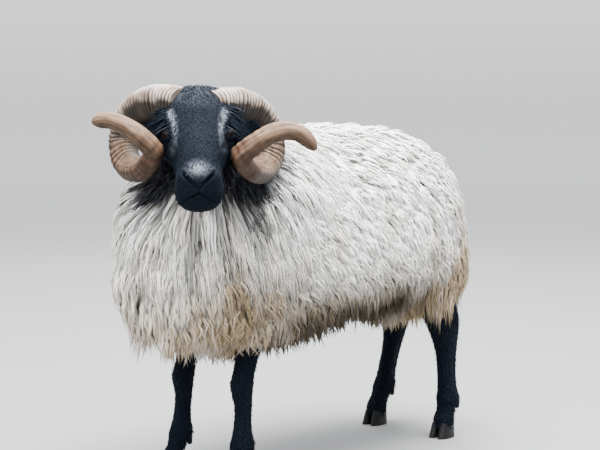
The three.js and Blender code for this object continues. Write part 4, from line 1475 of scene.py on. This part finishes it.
face = head_skin("head_roots")
sown = sow(face, 10500, 401, head_density)
near_eye = np.linalg.norm(np.abs(to_head(sown[0])) - EYE_AT, axis=-1)
sown = keep((near_eye > 0.0175) & (to_head(sown[0])[:, 0] < 0.160), *sown)
uvw = to_head(sown[0])
u, v, w = uvw.T
crown = (1 - smooth(-0.062, -0.030, u)) * smooth(-0.01, 0.02, v)
cheek = smooth(0.0, 0.06, -v) * (1 - smooth(0.06, 0.11, u))
fine = smooth(0.09, 0.14, u)
coat += lay_fur("short_hair_head", sown, 0.0095 + 0.004 * crown + 0.009 * cheek - 0.0040 * fine,
                0.0018 - 0.0005 * fine + 0.0006 * cheek, head_flow(uvw), 0.035 + 0.04 * crown + 0.14 * cheek, 2, 402)

# longer black hair at the temples and behind the ears, between the head and the horns
sown = sow(face, 6000, 403)
u, v, w = to_head(sown[0]).T
sown = keep((u < 0.018) & (v < 0.034) & (np.abs(w) > 0.034) & (markings(sown[0])[:, 2] < 0.08), *sown)
sides = np.sign(to_head(sown[0])[:, 2])[:, None]
coat += lay_fur("black_hair_temples", sown, 0.036, 0.0036, 0.7 * sides * LEFT - 0.65 * FORWARD + 0.5 * DOWN,
                0.50, 4, 404, droop=0.35)

# the nape, behind the poll and under the horns' roots
sown = sow(face, 2600, 409, lambda p, n: 1 * (to_head(p)[..., 0] < -0.035))
u, v, w = to_head(sown[0]).T
sown = keep((u < -0.060) | ((v < -0.02) & (u < -0.035)), *sown)
coat += lay_fur("black_hair_nape", sown, 0.020, 0.0034, -0.9 * FORWARD + 0.6 * DOWN, 0.13, 3, 410, droop=0.25)

for word, side in SIDES:
    root, tip = [brow_point(*end * [1, 1, side]) for end in EAR_LINE]
    coat += lay_fur(f"short_hair_ear_{word}", sow(ear_skin(side), 700, 405), 0.010, 0.0024, unit(tip - root),
                    0.25, 2, 406)

for word, foot in FEET.items():
    sown = sow(leg_skin(foot), 2100, 407, lambda p, n: 1 + 1.5 * (p[..., 2] < 0.12))
    height, behind = sown[0][:, 2], np.clip(sown[1][:, 1], 0, 1)
    fetlock = behind * bell((height - 0.085) / 0.030)
    coronet = 1 - smooth(0.045, 0.062, height)
    length = 0.0095 + 0.014 * fetlock + 0.004 * coronet + 0.010 * smooth(0.24, 0.34, height)
    coat += lay_fur(f"short_hair_leg_{word}", sown, length, 0.0030, DOWN + 0.25 * behind[:, None] * [0, 1, 0],
                    0.14 + 0.25 * fetlock + 0.10 * behind, 2, 408)


for piece in coat:
    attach(piece, "root")
for piece in [skin, *eyes, *horns, *hooves]:
    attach(piece, "root")


# ---------- floor, light and camera ----------

def square(name, size, z):
    """A flat square floor as a mesh."""
    mesh = bpy.data.meshes.new(name)
    s = size / 2
    mesh.from_pydata([(-s, -s, z), (s, -s, z), (s, s, z), (-s, s, z)], [], [(0, 1, 2, 3)])
    piece = bpy.data.objects.new(name, mesh)
    bpy.context.scene.collection.objects.link(piece)
    return piece


floor = square("floor", 60, 0)
material, tree, shader = new_material("Pale floor", Roughness=0.9)
reach = feed_all(tree, new_node(tree, "VectorMath", operation="LENGTH"), {0: object_place(tree)}).outputs["Value"]
feed_all(tree, shader, {"Base Color": mix_colour(tree, ramp(tree, reach, 2.0, 14.0), (0.19, 0.19, 0.188, 1),
                                                 (0.300, 0.296, 0.292, 1))})
floor.data.materials.append(material)

world = bpy.data.worlds.new("studio")
bpy.context.scene.world = world
world.use_nodes = True
sky = world.node_tree
height = split(sky, new_node(sky, "TexCoord").outputs["Generated"])[2]
glow = mix_colour(sky, ramp(sky, height, 0.0, 0.6), (1.05, 1.06, 1.08, 1), (3.3, 3.41, 3.57, 1))
feed(sky, sky.nodes["Background"].inputs[0], glow)


def soft_light(name, place, aim, size, power, colour):
    """A square soft light at a place, turned to its aim."""
    data = bpy.data.lights.new(name, "AREA")
    data.energy, data.size, data.color = power, size, colour
    lamp = bpy.data.objects.new(name, data)
    lamp.location = place
    lamp.rotation_euler = (Vector(aim) - Vector(place)).to_track_quat("-Z", "Y").to_euler()
    bpy.context.scene.collection.objects.link(lamp)


soft_light("top", (0.5, 0.2, 4.4), (0, 0, 0.6), 3.6, 1600, (0.97, 0.985, 1.0))
soft_light("front", (0.6, -4.2, 2.6), (0, -0.3, 0.6), 2.4, 200, (1.0, 0.985, 0.96))
soft_light("back", (-3.2, 2.6, 3.0), (0, 0, 0.5), 2.6, 110, (1.0, 1.0, 1.0))

CAMERA = dict(place=(2.3464, -2.6131, 0.8364), down=4.705, turn=42.446, lens=90.0)
camera_data = bpy.data.cameras.new("camera")
camera_data.lens, camera_data.sensor_width, camera_data.sensor_fit = CAMERA["lens"], 36.0, "HORIZONTAL"
camera = bpy.data.objects.new("camera", camera_data)
camera.location = np.array(CAMERA["place"]) + SHIFT
camera.rotation_euler = np.radians([90 - CAMERA["down"], 0, CAMERA["turn"]])
bpy.context.scene.collection.objects.link(camera)
bpy.context.scene.camera = camera
